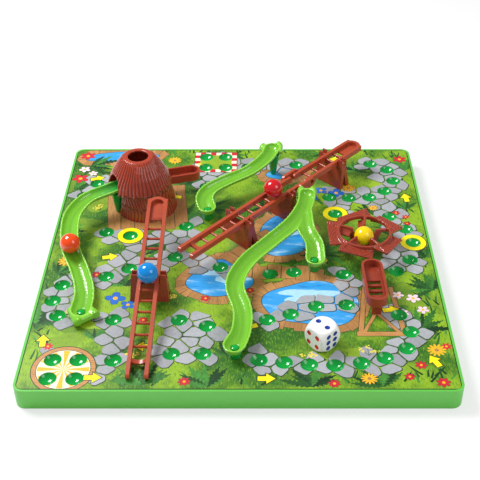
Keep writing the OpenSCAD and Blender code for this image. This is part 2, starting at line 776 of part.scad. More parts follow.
// Routes of the snakes, from the high end to the low end. Each point gives X and Y as
// shares of the board's side, the rim's height as a share of snake_h and the half width
// as a share of snake_w.
left_route_shares = [[-0.322, 0.190, 1.00, 0.50], [-0.355, 0.171, 0.96, 0.50],
    [-0.411, 0.141, 0.86, 0.50], [-0.442, 0.085, 0.76, 0.50], [-0.444, 0.020, 0.66, 0.50],
    [-0.430, -0.052, 0.56, 0.50], [-0.400, -0.120, 0.44, 0.50], [-0.379, -0.190, 0.33, 0.52],
    [-0.380, -0.252, 0.26, 0.56]];
back_route_shares = [[0.087, 0.374, 1.00, 0.48], [0.068, 0.325, 0.97, 0.47],
    [0.022, 0.275, 0.86, 0.47], [-0.036, 0.245, 0.74, 0.50], [-0.083, 0.216, 0.63, 0.51],
    [-0.101, 0.182, 0.55, 0.52], [-0.093, 0.143, 0.49, 0.53]];
fork_long_route_shares = [[0.176, 0.141, 1.00, 0.48], [0.168, 0.095, 0.96, 0.47],
    [0.1384, 0.0325, 0.86, 0.52], [0.080, -0.030, 0.72, 0.50], [0.015, -0.105, 0.60, 0.50],
    [-0.013, -0.185, 0.53, 0.50], [0.006, -0.268, 0.48, 0.49], [0.005, -0.340, 0.46, 0.50],
    [-0.011, -0.390, 0.45, 0.57]];
fork_short_route_shares = [[0.1645, 0.071, 0.925, 0.47], [0.168, 0.010, 0.82, 0.50],
    [0.1875, -0.0345, 0.65, 0.50], [0.1888, -0.081, 0.50, 0.54]];

function rim_points(shares) = [for (s = shares)
    [s[0] * board_side, s[1] * board_side, top_z + s[2] * snake_h, s[3] * snake_w]];

// A smooth curve through points, in n steps between one point and the next
function curve_point(p, i, t) =
    let (a = p[max(i - 1, 0)], b = p[i], c = p[i + 1], d = p[min(i + 2, len(p) - 1)])
    (2 * b + (c - a) * t + (2 * a - 5 * b + 4 * c - d) * t * t
        + (3 * b - a - 3 * c + d) * t * t * t) / 2;
function curve(p, n) = concat([for (i = [0 : len(p) - 2]) for (k = [0 : n - 1])
    curve_point(p, i, k / n)], [p[len(p) - 1]]);

// The same curve with its ends rounded off: the width closes like half a circle
function flat_unit(v) = [v[0], v[1], 0, 0] / norm([v[0], v[1]]);
function rounded_end(p, dir) = [for (a = [22, 44, 64, 80])
    let (w = p[3]) [p[0], p[1], p[2], w * cos(a)] + dir * w * sin(a)];
function reversed(v) = [for (i = [len(v) - 1 : -1 : 0]) v[i]];
function rounded(p) =
    let (n = len(p), head = flat_unit(p[0] - p[1]), tail = flat_unit(p[n - 1] - p[n - 2]))
    concat(reversed(rounded_end(p[0], head)), p, rounded_end(p[n - 1], tail));

function inset(p) = [for (q = p) [q[0], q[1], q[2], q[3] - snake_t]];

function section(p, i, deep, top) =
    let (n = len(p), d = flat_unit(p[min(i + 1, n - 1)] - p[max(i - 1, 0)]), w = p[i][3],
        shrink = min(1, 1.25 * w / (snake_w / 2)), first = top > 0 ? 202.5 : 180)
    concat([for (a = [first : 22.5 : 540 - first])
        [p[i][0] - d[1] * w * cos(a), p[i][1] + d[0] * w * cos(a),
            p[i][2] + deep * sin(a) * shrink]],
        top > 0 ? [[p[i][0] - d[1] * w, p[i][1] + d[0] * w, p[i][2] + top],
            [p[i][0] + d[1] * w, p[i][1] - d[0] * w, p[i][2] + top]] : []);

// A body of half round section along a route, carried up by top above its rim
module sweep(p, deep, top) {
    rings = [for (i = [0 : len(p) - 1]) section(p, i, deep, top)];
    m = len(rings[0]);
    last = len(rings) - 1;
    sides = [for (i = [0 : last - 1]) for (j = [0 : m - 1]) each
        let (a = i * m + j, b = i * m + (j + 1) % m) [[a, b + m, b], [a, a + m, b + m]]];
    ends = [[for (j = [0 : m - 1]) j], [for (j = [m - 1 : -1 : 0]) last * m + j]];
    polyhedron([for (r = rings) each r], concat(sides, ends), convexity = 8);
}
module snake_body(line) {
    sweep(rounded(line), snake_d, 0);
}
module snake_channel(line) {
    sweep(rounded(inset(line)), snake_d - snake_t, over);
}

// The broad head at the route's end i, which faces along plan and lies ahead of the end:
// on each side a lobe grows out of the body and carries an eye, with a web between them
head_links = [[0, 1], [1, 2], [1, 3]];
head_spread = 0.5 * snake_w;
left_head_plan = -55;
left_head_ahead = 0.6 * snake_w;
back_head_plan = 103;
back_head_ahead = 0.29 * snake_w;
fork_head_plan = 88;
fork_head_ahead = 0.45 * snake_w;
fork_head_spread = 0.34 * snake_w;
module head(p, i, plan, ahead, spread) {
    d = [cos(plan), sin(plan)];
    z = p[i][2] - eye_r * 0.75;
    c = [p[i][0] + ahead * d[0], p[i][1] + ahead * d[1]];
    for (side = [-1, 1]) {
        n = [-side * d[1], side * d[0]];
        balls = [[p[i][0], p[i][1], z, 0.7],
            [c[0] + n[0] * spread, c[1] + n[1] * spread, z, 1],
            [c[0] + n[0] * spread * 0.94 + d[0] * eye_r * 0.3,
                c[1] + n[1] * spread * 0.94 + d[1] * eye_r * 0.3, z + eye_r * 0.55, 0.6],
            [p[i][0] + n[0] * spread * 0.8 - d[0] * eye_r * 1.5,
                p[i][1] + n[1] * spread * 0.8 - d[1] * eye_r * 1.5, z, 0.7]];
        for (link = head_links)
            hull() for (k = link)
                translate([balls[k][0], balls[k][1], balls[k][2]]) sphere(eye_r * balls[k][3], $fn = 12);
    }
    hull() {
        translate([p[i][0], p[i][1], z]) sphere(eye_r * 0.7, $fn = 12);
        for (side = [-1, 1])
            translate([c[0] - side * d[1] * spread * 0.8, c[1] + side * d[0] * spread * 0.8, z])
            sphere(eye_r * 0.75, $fn = 12);
    }
}

// The boss under a snake's high end, which plugs into its post, and the hole in the
// floor of a low end, which its post's tip comes up through
boss_l = 3.6;
post_gap = 0.3;
tip_rise = 0.6;
tip_gap = 0.3;
function belly_z(rim_z) = rim_z - snake_d;
module boss(foot, rim_z) {
    translate([foot[0], foot[1], belly_z(rim_z) - boss_l])
        hull() {
            cylinder(h = boss_l + snake_t, r = spigot_r * 0.8, $fn = 12);
            translate([0, 0, spigot_r * 0.2]) cylinder(h = boss_l, r = spigot_r, $fn = 12);
        }
}

module tip_hole(foot, rim_z) {
    translate([foot[0], foot[1], belly_z(rim_z) - over])
        cylinder(h = snake_d, r = spigot_r + tip_gap, $fn = 30);
}

// A round post that narrows downwards, with a socket for a boss or a domed tip
module snake_post(foot, rim_z, tipped) {
    z = belly_z(rim_z) - post_gap - top_z;
    dome_h = snake_t + post_gap + tip_rise;
    color(deep_green)
    translate([foot[0], foot[1], top_z]) {
        difference() {
            cylinder(h = z, r1 = post_top_r - post_draft * z, r2 = post_top_r);
            if (!tipped)
                translate([0, 0, z + post_gap - boss_l]) cylinder(h = boss_l, r = spigot_r + tip_gap);
        }
        if (tipped) {
            translate([0, 0, z - over / 2]) cylinder(h = over / 2 + dome_h, r = spigot_r);
            translate([0, 0, z + dome_h]) cylinder(h = tip_rise, r1 = spigot_r, r2 = spigot_r / 2);
        }
        peg();
    }
}

route_steps = 4;
left_line = curve(rim_points(left_route_shares), route_steps);
back_line = curve(rim_points(back_route_shares), route_steps);
long_line = curve(rim_points(fork_long_route_shares), route_steps);
short_line = curve(rim_points(fork_short_route_shares), route_steps);
left_post_z = top_z + 0.97 * snake_h;
left_head_z = top_z + 0.26 * snake_h;
back_head_z = top_z + snake_h;
back_tail_z = top_z + 0.49 * snake_h;
fork_head_z = top_z + 0.985 * snake_h;
fork_long_z = top_z + 0.45 * snake_h;
fork_short_z = top_z + 0.51 * snake_h;

module snake_left() {
    n = len(left_line);
    color(snake_green)
    difference() {
        union() {
            snake_body(left_line);
            head(left_line, n - 1, left_head_plan, left_head_ahead, head_spread);
            boss(snake_left_feet[0], left_post_z);
        }
        snake_channel(left_line);
        tip_hole(snake_left_feet[1], left_head_z);
    }
}

module snake_back() {
    color(snake_green)
    difference() {
        union() {
            snake_body(back_line);
            head(back_line, 0, back_head_plan, back_head_ahead, head_spread);
            boss(snake_back_feet[0], back_head_z);
        }
        snake_channel(back_line);
        tip_hole(snake_back_feet[1], back_tail_z);
    }
}

module snake_fork() {
    color(snake_green)
    difference() {
        union() {
            snake_body(long_line);
            snake_body(short_line);
            head(long_line, 0, fork_head_plan, fork_head_ahead, fork_head_spread);
            boss(snake_fork_feet[0], fork_head_z);
        }
        snake_channel(long_line);
        snake_channel(short_line);
        tip_hole(snake_fork_feet[1], fork_long_z);
        tip_hole(snake_fork_feet[2], fork_short_z);
    }
}

module snake_left_post() { snake_post(snake_left_feet[0], left_post_z, false); }
module snake_left_head_pin() { snake_post(snake_left_feet[1], left_head_z, true); }
module snake_back_head_post() { snake_post(snake_back_feet[0], back_head_z, false); }
module snake_back_tail_post() { snake_post(snake_back_feet[1], back_tail_z, true); }
module snake_fork_head_post() { snake_post(snake_fork_feet[0], fork_head_z, false); }
module snake_fork_long_post() { snake_post(snake_fork_feet[1], fork_long_z, true); }
module snake_fork_short_post() { snake_post(snake_fork_feet[2], fork_short_z, true); }

module marble_orange() {
    at = left_line[5 * route_steps];
    in = at[3] - snake_t;
    ride = sqrt(marble_r * marble_r - in * in) + post_gap;
    color([0.92, 0.24, 0.10]) translate([at[0], at[1], at[2] + ride]) sphere(marble_r);
}
module marble_blue() {
    ride = rail_h / 2 + sqrt(marble_r * marble_r - rail_in * rail_in);
    color([0.0, 0.47, 0.78])
    on_board(left_at, left_plan) translate([0, 0, left_trunnion_h]) rotate([0, -left_pitch, 0])
        translate([-3.3, 0, ride + 0.1]) sphere(marble_r);
}
module marble_red() {
    ride = rail_h / 2 + sqrt(marble_r * marble_r - rail_in * rail_in);
    color([0.80, 0.08, 0.12])
    on_board(lower_at, lower_plan) translate([0, 0, trunnion_h]) rotate([0, -lower_pitch, 0])
        translate([42.8, 0, ride + 0.1]) sphere(marble_r);
}
module marble_yellow() {
    color([0.98, 0.78, 0.04]) translate([wheel_at[0], wheel_at[1], top_z + hub_marble_h]) sphere(marble_r);
}

// The die: one to six pips, opposite faces making seven
pip_rows = [[[0, 0]], [[0, -0.24], [0, 0.24]], [[-0.22, -0.22], [0, 0], [0.22, 0.22]],
    [[-0.22, -0.22], [-0.22, 0.22], [0.22, -0.22], [0.22, 0.22]],
    [[-0.22, -0.22], [-0.22, 0.22], [0, 0], [0.22, -0.22], [0.22, 0.22]],
    [[-0.17, -0.28], [-0.17, 0], [-0.17, 0.28], [0.17, -0.28], [0.17, 0], [0.17, 0.28]]];
die_faces = [[4, [180, 0, 0]], [1, [0, 0, 0]], [5, [90, 0, 0]], [0, [-90, 0, 0]],
    [2, [0, 90, 0]], [3, [0, -90, 0]]];

module die() {
    h = die_side / 2;
    at = spot(die_at_share);
    color([0.95, 0.95, 0.93])
    translate([at[0], at[1], top_z + h]) rotate([0, 0, die_turn])
    difference() {
        intersection() {
            cube(die_side, center = true);
            sphere(h * 1.37);
        }
        for (f = die_faces) rotate(f[1])
            for (q = pip_rows[f[0]])
                translate([q[0] * die_side, q[1] * die_side, h - pip_depth])
                cylinder(h = over, r = pip_r);
    }
}

base_tray();
space_plate();
play_sheet();
tray_screws();
hut_shell();
hut_splitter();
hut_chute();
snake_left();
snake_left_post();
snake_left_head_pin();
snake_back();
snake_back_head_post();
snake_back_tail_post();
snake_fork();
snake_fork_head_post();
snake_fork_long_post();
snake_fork_short_post();
stand_left();
stand_lower();
stand_middle();
stand_upper();
ladder_left();
ladder_lower();
ladder_upper();
water_wheel();
wheel_axle();
wheel_trough();
marble_orange();
marble_blue();
marble_red();
marble_yellow();
die();
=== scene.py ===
import random
from math import atan2, cos, dist, hypot, pi, radians, sin, sqrt

import bmesh
import bpy
import numpy as np
from mathutils import Matrix, Vector
from mathutils.geometry import delaunay_2d_cdt


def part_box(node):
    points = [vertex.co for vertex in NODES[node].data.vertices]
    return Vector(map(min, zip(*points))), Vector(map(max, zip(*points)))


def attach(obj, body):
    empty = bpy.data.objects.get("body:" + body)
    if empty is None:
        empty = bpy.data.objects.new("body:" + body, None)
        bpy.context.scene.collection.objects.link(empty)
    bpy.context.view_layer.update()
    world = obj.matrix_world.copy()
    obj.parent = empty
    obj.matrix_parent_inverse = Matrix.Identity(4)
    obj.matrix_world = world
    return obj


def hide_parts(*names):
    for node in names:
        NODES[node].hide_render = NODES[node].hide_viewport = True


bl_info = {
    "name": "Snakes and Ladders Board",
    "version": (1, 0, 0),
    "blender": (4, 5, 0),
    "location": "View3D > Sidebar > Board",
    "description": "Dresses the marble snakes and ladders board in its finishes",
    "category": "Object",
}

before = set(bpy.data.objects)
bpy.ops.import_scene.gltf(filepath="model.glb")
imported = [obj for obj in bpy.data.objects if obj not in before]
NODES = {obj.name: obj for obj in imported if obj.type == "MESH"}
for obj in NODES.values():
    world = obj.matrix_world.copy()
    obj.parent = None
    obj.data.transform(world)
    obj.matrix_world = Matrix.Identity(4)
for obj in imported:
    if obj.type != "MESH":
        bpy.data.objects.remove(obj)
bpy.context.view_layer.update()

MM = 0.001
WELD = 1e-6
WHITE = (1, 1, 1)
BOARD_SIDE = 330.0
SURFACE_Z = 18.0
SNAKE_RISE = 28.5
SNAKE_WIDTH = 15.8
HUT_AT = (-0.262 * BOARD_SIDE, 0.206 * BOARD_SIDE)
ROOF_LEAN = (-5.0, 2.0)
WHEEL_AT = (0.319 * BOARD_SIDE, 0.012 * BOARD_SIDE)
BROWN_EDGE = 0.0004

# Routes of the snakes, high end first: X and Y as shares of the board's side, the rim's
# height as a share of SNAKE_RISE and the half width as a share of SNAKE_WIDTH
LEFT_ROUTE = (
    (-0.322, 0.190, 1.00, 0.50), (-0.355, 0.171, 0.96, 0.50), (-0.411, 0.141, 0.86, 0.50),
    (-0.442, 0.085, 0.76, 0.50), (-0.444, 0.020, 0.66, 0.50), (-0.430, -0.052, 0.56, 0.50),
    (-0.400, -0.120, 0.44, 0.50), (-0.379, -0.190, 0.33, 0.52), (-0.380, -0.252, 0.26, 0.56))
BACK_ROUTE = (
    (0.087, 0.374, 1.00, 0.48), (0.068, 0.325, 0.97, 0.47), (0.022, 0.275, 0.86, 0.47),
    (-0.036, 0.245, 0.74, 0.50), (-0.083, 0.216, 0.63, 0.51), (-0.101, 0.182, 0.55, 0.52),
    (-0.093, 0.143, 0.49, 0.53))
LONG_ROUTE = (
    (0.176, 0.141, 1.00, 0.48), (0.168, 0.095, 0.96, 0.47), (0.1384, 0.0325, 0.86, 0.52),
    (0.080, -0.030, 0.72, 0.50), (0.015, -0.105, 0.60, 0.50), (-0.013, -0.185, 0.53, 0.50),
    (0.006, -0.268, 0.48, 0.49), (0.005, -0.340, 0.46, 0.50), (-0.011, -0.390, 0.45, 0.57))
SHORT_ROUTE = (
    (0.1645, 0.071, 0.925, 0.47), (0.168, 0.010, 0.82, 0.50), (0.1875, -0.0345, 0.65, 0.50),
    (0.1888, -0.081, 0.50, 0.54))


def srgb(red, green, blue):
    """A colour given as 0 to 255, in linear values."""
    return tuple(value / 255 / 12.92 if value <= 10 else ((value / 255 + 0.055) / 1.055) ** 2.4
                 for value in (red, green, blue))


def shade(colour, share):
    """A linear colour made darker or lighter."""
    return tuple(min(1.0, part * share) for part in colour)


# The settings that a user would change

def colour_of(name, what, *value):
    return bpy.props.FloatVectorProperty(name=name, description="Colour of the " + what,
                                         subtype="COLOR", size=3, min=0.0, max=1.0,
                                         default=srgb(*value))


def metres(name, what, value):
    return bpy.props.FloatProperty(name=name, description=what, subtype="DISTANCE", unit="LENGTH",
                                   min=0.0, default=value)


def factor(name, what, value):
    return bpy.props.FloatProperty(name=name, description=what, subtype="FACTOR", min=0.0,
                                   max=1.0, default=value)


def watts(name, what, value):
    return bpy.props.FloatProperty(name=name, description=what, unit="POWER", default=value)


class SheetSettings(bpy.types.PropertyGroup):
    grass: colour_of("Grass", "printed lawn", 138, 178, 30)
    grass_dark: colour_of("Grass shade", "lawn's darker tufts", 50, 108, 24)
    stone: colour_of("Paving", "printed paving stones", 164, 167, 172)
    water: colour_of("Water", "printed ponds", 44, 154, 224)
    wood: colour_of("Planks", "printed planks", 190, 136, 78)
    mark: colour_of("Marks", "printed arrows and rings", 255, 236, 0)
    leaf: colour_of("Leaves", "printed leaves", 14, 78, 30)
    petal: colour_of("Petals", "printed blossoms", 208, 30, 48)
    roughness: factor("Roughness", "Roughness of the sheet's varnish", 0.42)
    stone_length: metres("Stone length", "Length of a paving stone", 0.0162)
    stone_depth: metres("Stone depth", "Depth of a paving stone", 0.0098)
    path_reach: metres("Path reach", "How far the paving reaches beside the spaces", 0.0118)


class TraySettings(bpy.types.PropertyGroup):
    tray: colour_of("Tray", "tray", 98, 190, 74)
    deep: colour_of("Spaces and posts", "dished spaces and the posts", 0, 158, 60)
    edge_radius: metres("Edge radius", "Rounding of the moulded edges", 0.0004)


class SnakeSettings(bpy.types.PropertyGroup):
    body: colour_of("Body", "snakes", 122, 194, 50)
    # The rims are painted lighter: a painted highlight, as of light through the thin edges
    rim: colour_of("Rim", "thin rims", 142, 208, 74)
    # Painted shade: the snake turns darker over the first few centimetres out of the hut
    shadow: colour_of("Mouth", "end of the snake that leaves the hut", 22, 160, 66)
    scale_pitch: metres("Scale pitch", "Length of one scale along the rim", 0.0034)
    scale_depth: metres("Scale depth", "How far a scale stands out", 0.00042)
    voxel: metres("Voxel", "Fineness of the snakes' meshes", 0.0006)


class BrownSettings(bpy.types.PropertyGroup):
    hut: colour_of("Hut", "hut", 166, 60, 38)
    # Grooves darker than the strands: painted shade in the grooves
    hut_groove_shade: colour_of("Hut grooves", "grooves between the strands", 100, 30, 18)
    ladder: colour_of("Ladders", "ladders", 172, 70, 42)
    wheel: colour_of("Wheel", "wheel, its trough and the stands", 156, 60, 40)
    strand_depth: metres("Strand depth", "Depth of the grooves between the strands", 0.0008)
    voxel: metres("Voxel", "Fineness of the hut's and the wheel's meshes", 0.0005)


class MarbleSettings(bpy.types.PropertyGroup):
    orange: colour_of("Orange", "orange marble", 238, 74, 20)
    blue: colour_of("Blue", "blue marble", 0, 134, 214)
    red: colour_of("Red", "red marble", 206, 18, 30)
    yellow: colour_of("Yellow", "yellow marble", 255, 218, 8)


class DieSettings(bpy.types.PropertyGroup):
    side: metres("Side", "Side of the die", 0.020)
    ball: metres("Ball", "Radius of the ball that rounds the die's corners", 0.0137)
    white: colour_of("Body", "die", 242, 242, 240)
    pip_red: colour_of("Red pips", "one and the four", 206, 30, 34)
    pip_blue: colour_of("Blue pips", "other pips", 22, 50, 150)


class StageSettings(bpy.types.PropertyGroup):
    floor: colour_of("Floor", "floor", 247, 247, 247)
    key: watts("Key lamp", "Power of the lamp at the left", 13.5)
    fill: watts("Fill lamp", "Power of the lamp at the right", 3.6)
    sky: factor("Sky", "Strength of the light from all round", 0.50)
    mirrored_sky: factor("Mirrored sky", "Strength of the sky where a surface mirrors it", 0.22)


SETTINGS = {"board_sheet": SheetSettings, "board_tray": TraySettings, "board_snake": SnakeSettings,
            "board_brown": BrownSettings, "board_marble": MarbleSettings, "board_die": DieSettings,
            "board_stage": StageSettings}


# Shader building

class Tree:
    """Adds linked nodes to the tree of a material or a group."""

    def __init__(self, tree):
        self.nodes, self.links = tree.nodes, tree.links

    def feed(self, socket, value):
        if isinstance(value, bpy.types.NodeSocket):
            self.links.new(value, socket)
        elif socket.type == "RGBA":
            socket.default_value = (*value, 1.0)
        else:
            socket.default_value = value

    def add(self, kind, inputs=None, **settings):
        node = self.nodes.new("ShaderNode" + kind)
        for name, value in settings.items():
            setattr(node, name, value)
        for name, value in (inputs or {}).items():
            self.feed(node.inputs[name], value)
        return node

    def maths(self, operation, first, second):
        return self.add("Math", {0: first, 1: second}, operation=operation).outputs[0]

    def plus(self, first, second):
        return self.maths("ADD", first, second)

    def times(self, first, second):
        return self.maths("MULTIPLY", first, second)

    def mix(self, share, first, second):
        return self.add("Mix", {0: share, 6: first, 7: second}, data_type="RGBA").outputs[2]

    def band(self, value, low, high, to_low=0.0, to_high=1.0):
        inputs = {0: value, 1: low, 2: high, 3: to_low, 4: to_high}
        return self.add("MapRange", inputs, interpolation_type="SMOOTHSTEP").outputs[0]

    def noise(self, vector, scale, detail=2.0, roughness=0.5, turn=0.0):
        """Noise, stretched along the axes where three scales are given."""
        if isinstance(scale, tuple):
            inputs = {"Vector": vector, "Rotation": (0, 0, turn), "Scale": scale}
            vector, scale = self.add("Mapping", inputs).outputs[0], 1.0
        inputs = {"Vector": vector, "Scale": scale, "Detail": detail, "Roughness": roughness}
        return self.add("TexNoise", inputs).outputs[0]

    def fade(self, colour, other, value, low, high, share=1.0):
        """A colour with another one laid over it where the value goes from low to high."""
        return self.mix(self.band(value, low, high, 0.0, share), colour, other)

    def attribute(self, name):
        return self.add("Attribute", attribute_name=name).outputs["Fac"]

    def value_shift(self, colour, value):
        return self.add("HueSaturation", {"Value": value, "Color": colour}).outputs[0]


def moulded_group():
    """Moulded plastic: cloudy colour, fine texture, hairline scuffs and edges painted lighter, a
    painted highlight.
    """
    name = "Moulded plastic"
    if name in bpy.data.node_groups:
        return bpy.data.node_groups[name]
    group = bpy.data.node_groups.new(name, "ShaderNodeTree")
    for way, labels in (("INPUT", ("Vector", "Color", "Shift", "Roughness", "Grain", "Wear")),
                        ("OUTPUT", ("Color", "Roughness", "Height"))):
        for label in labels:
            kind = "NodeSocket" + (label if label in ("Vector", "Color") else "Float")
            group.interface.new_socket(label, in_out=way, socket_type=kind)
    tree = Tree(group)
    given, result = (tree.nodes.new("NodeGroup" + way) for way in ("Input", "Output"))
    given, result = given.outputs, result.inputs
    vector = given["Vector"]
    cloud = tree.noise(vector, 38.0, 3.0)
    fine = tree.noise(vector, 1100.0, 2.0, 0.6)
    wave = tree.noise(vector, 210.0, 1.0)
    scuffs = 0.0
    for turn, scale in ((0.5, (120.0, 3200.0, 500.0)), (2.2, (150.0, 2600.0, 700.0))):
        lines = tree.noise(vector, scale, 1.0, turn=turn)
        scuffs = tree.maths("MAXIMUM", scuffs, tree.band(lines, 0.70, 0.76))
    scuffs = tree.times(scuffs, tree.band(tree.noise(vector, 70.0), 0.5, 0.62))
    # Edges lighter where the bevelled normal turns from the true one: a painted highlight along the
    # moulded edges
    bevel = tree.add("Bevel", {"Radius": 0.0005}, samples=4).outputs[0]
    normal = tree.add("NewGeometry").outputs["Normal"]
    facing = tree.add("VectorMath", {0: bevel, 1: normal}, operation="DOT_PRODUCT").outputs["Value"]
    edges = tree.times(tree.band(facing, 0.97, 0.80), tree.band(cloud, 0.35, 0.6, 0.45, 1.0))
    edges = tree.times(tree.times(edges, given["Wear"]), 0.45)
    value = tree.plus(tree.times(tree.plus(cloud, -0.5), given["Shift"]), 1.0)
    tree.feed(result["Color"], tree.value_shift(given["Color"], tree.plus(value, edges)))
    rough = tree.plus(given["Roughness"], tree.times(scuffs, 0.14))
    rough = tree.plus(rough, tree.times(tree.plus(wave, -0.5), 0.10))
    tree.feed(result["Roughness"], tree.maths("MAXIMUM", rough, 0.05))
    height = tree.plus(tree.plus(fine, tree.times(scuffs, -0.6)), tree.times(wave, 2.0))
    tree.feed(result["Height"], tree.times(height, given["Grain"]))
    return group


def new_material(name):
    """An empty material, its tree, its Principled node's inputs and the object's coordinates."""
    material = bpy.data.materials.new(name)
    material.use_nodes = True
    tree = Tree(material.node_tree)
    vector = tree.add("TexCoord").outputs["Object"]
    return material, tree, tree.nodes["Principled BSDF"].inputs, vector


def set_bump(tree, surface, height):
    bump = tree.add("Bump", {"Strength": 1.0, "Distance": 0.001, "Height": height})
    tree.feed(surface["Normal"], bump.outputs[0])


def finish_plastic(tree, surface, vector, colour, roughness, grain=0.006, shift=0.12, wear=0.3,
                   coat=0.0, height=None):
    """Leads a colour through the moulded plastic group into a Principled node."""
    inputs = {"Vector": vector, "Color": colour, "Shift": shift, "Roughness": roughness,
              "Grain": grain, "Wear": wear}
    result = tree.add("Group", inputs, node_tree=moulded_group()).outputs
    relief = result["Height"]
    set_bump(tree, surface, relief if height is None else tree.plus(relief, height))
    for label, value in (("Base Color", result["Color"]), ("Roughness", result["Roughness"]),
                         ("IOR", 1.49), ("Coat Weight", coat), ("Coat Roughness", 0.06)):
        tree.feed(surface[label], value)


def plain_plastic(name, colour, roughness, **settings):
    material, tree, surface, vector = new_material(name)
    finish_plastic(tree, surface, vector, colour, roughness, **settings)
    return material


# Mesh building

def link(name, data):
    item = bpy.data.objects.new(name, data)
    bpy.context.scene.collection.objects.link(item)
    return item


def new_piece(name, bm):
    mesh = bpy.data.meshes.new(name)
    bm.to_mesh(mesh)
    bm.free()
    return link(name, mesh)


def modify(piece, name, kind, **settings):
    modifier = piece.modifiers.new(name, kind)
    for setting, value in settings.items():
        setattr(modifier, setting, value)


def paint(piece, *materials):
    """Gives a piece its materials; a new piece's faces keep their own numbers."""
    if piece.data.materials:
        piece.data.materials.clear()
    for material in materials:
        piece.data.materials.append(material)


def merged(node):
    """A CAD node's mesh with its loose triangles merged."""
    bm = bmesh.new()
    bm.from_mesh(NODES[node].data)
    bmesh.ops.remove_doubles(bm, verts=bm.verts, dist=WELD)
    return bm


def apply_modifiers(piece):
    depsgraph = bpy.context.evaluated_depsgraph_get()
    mesh = bpy.data.meshes.new_from_object(piece.evaluated_get(depsgraph))
    piece.modifiers.clear()
    piece.data = mesh


def remeshed(node, name, voxel):
    """A CAD node's shape as a new, even mesh, with its points' places in mm and normals."""
    piece = new_piece(name, merged(node))
    modify(piece, "Remesh", "REMESH", mode="VOXEL", voxel_size=voxel)
    modify(piece, "Smooth", "SMOOTH", factor=0.5, iterations=2)
    apply_modifiers(piece)
    shade_smooth(piece)
    mesh = piece.data
    places, normals = np.empty((2, len(mesh.vertices) * 3))
    mesh.vertices.foreach_get("co", places)
    mesh.vertex_normals.foreach_get("vector", normals)
    return piece, places.reshape(-1, 3) / MM, normals.reshape(-1, 3)


def shade_smooth(piece):
    piece.data.polygons.foreach_set("use_smooth", [True] * len(piece.data.polygons))


def move_points(piece, places):
    piece.data.vertices.foreach_set("co", (places * MM).ravel())
    piece.data.update()


def store(piece, name, values):
    layer = piece.data.attributes.new(name, "FLOAT", "POINT")
    layer.data.foreach_set("value", np.clip(values, 0.0, 1.0).astype(float))


def stand_for(piece, node, body):
    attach(piece, body)
    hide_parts(node)


def soften(node, radius):
    """Gives a carried-over CAD node rounded edges through modifiers, its own mesh untouched."""
    piece = NODES[node]
    modify(piece, "Weld", "WELD", merge_threshold=WELD)
    modify(piece, "Flat", "DECIMATE", decimate_type="DISSOLVE", angle_limit=radians(0.4))
    modify(piece, "Edges", "BEVEL", width=radius, segments=2, limit_method="ANGLE",
           angle_limit=radians(40.0))
    modify(piece, "Normals", "WEIGHTED_NORMAL")
    shade_smooth(piece)


def dress(names, material, radius):
    """Paints and softens the CAD nodes whose name begins or ends with one of the names."""
    for name in NODES:
        if name.startswith(names) or name.endswith(names):
            paint(NODES[name], material)
            soften(name, radius)


# The printed sheet

def ring(outline):
    """Every point of a closed outline with the one after it."""
    return zip(outline, outline[1:] + outline[:1])


def doubled_area(outline):
    return sum(a[0] * b[1] - b[0] * a[1] for a, b in ring(outline))


# Layers: 0 grass, under 1 meadow and blades, 1 to 4.5 ponds, 4.7 tufts, 5 and 6 paving, 5.2
# decks, 7 round bed, mat and beams, 9 blossoms and sprigs, 11 and 12 arrows and rings, 20 the
# dark border (painted shade of the gap between sheet and tray rim), 99 the holes

class Artwork:
    """Flat shapes to print, each with a layer, an ink, a tone and a direction of its grain."""

    def __init__(self):
        self.points, self.faces, self.facts = [], [], []

    def add(self, outline, layer, ink, tone=0.5, turn=0.0):
        if doubled_area(outline) < 0:
            outline = outline[::-1]
        start = len(self.points)
        self.points += [Vector(point) for point in outline]
        self.faces.append(list(range(start, start + len(outline))))
        self.facts.append((layer, ink, tone, turn))


def block(left, low, right, high):
    return [(left, low), (right, low), (right, high), (left, high)]


def turned(points, at, angle):
    c, s = cos(angle), sin(angle)
    return [(at[0] + x * c - y * s, at[1] + x * s + y * c) for x, y in points]


def circle(at, radius, count):
    angles = [2 * pi * k / count for k in range(count)]
    return [(at[0] + radius * cos(a), at[1] + radius * sin(a)) for a in angles]


def blob(at, reach, draw, wobble, count, turn=0.0):
    """A soft closed outline of about that reach along X and Y."""
    waves = [(k, wobble / k ** 0.6 * draw.uniform(0.5, 1.0), draw.uniform(0, 6.28))
             for k in (2, 3, 5)]
    points = []
    for step in range(count):
        angle = 2 * pi * step / count
        size = 1 + sum(height * cos(k * angle + phase) for k, height, phase in waves)
        points.append((reach[0] * size * cos(angle), reach[1] * size * sin(angle)))
    return turned(points, at, turn)


def grown(outline, distance):
    """An outline moved outwards by a distance, roughly, along its own normals."""
    side = 1.0 if doubled_area(outline) > 0 else -1.0
    result = []
    for index, (x, y) in enumerate(outline):
        (ax, ay), (bx, by) = outline[index - 1], outline[(index + 1) % len(outline)]
        length = hypot(bx - ax, by - ay) or 1.0
        result.append((x + side * (by - ay) / length * distance,
                       y - side * (bx - ax) / length * distance))
    return result


def clipped(polygon, point, normal):
    """The part of a convex polygon behind a line through point."""
    result = []
    for a, b in ring(polygon):
        da = (a[0] - point[0]) * normal[0] + (a[1] - point[1]) * normal[1]
        db = (b[0] - point[0]) * normal[0] + (b[1] - point[1]) * normal[1]
        if da <= 0:
            result.append(a)
        if (da < 0 < db) or (db < 0 < da):
            result.append(between(a, b, da / (da - db)))
    return result


def between(a, b, share):
    return (a[0] + (b[0] - a[0]) * share, a[1] + (b[1] - a[1]) * share)


def rounded(polygon, share):
    """Cuts a polygon's corners off once."""
    return [between(*ends, share) for a, b in ring(polygon) for ends in ((a, b), (b, a))]


def to_segment(point, a, b):
    x, y = b[0] - a[0], b[1] - a[1]
    dot = (point[0] - a[0]) * x + (point[1] - a[1]) * y
    return dist(point, between(a, b, max(0.0, min(1.0, dot / ((x * x + y * y) or 1.0)))))


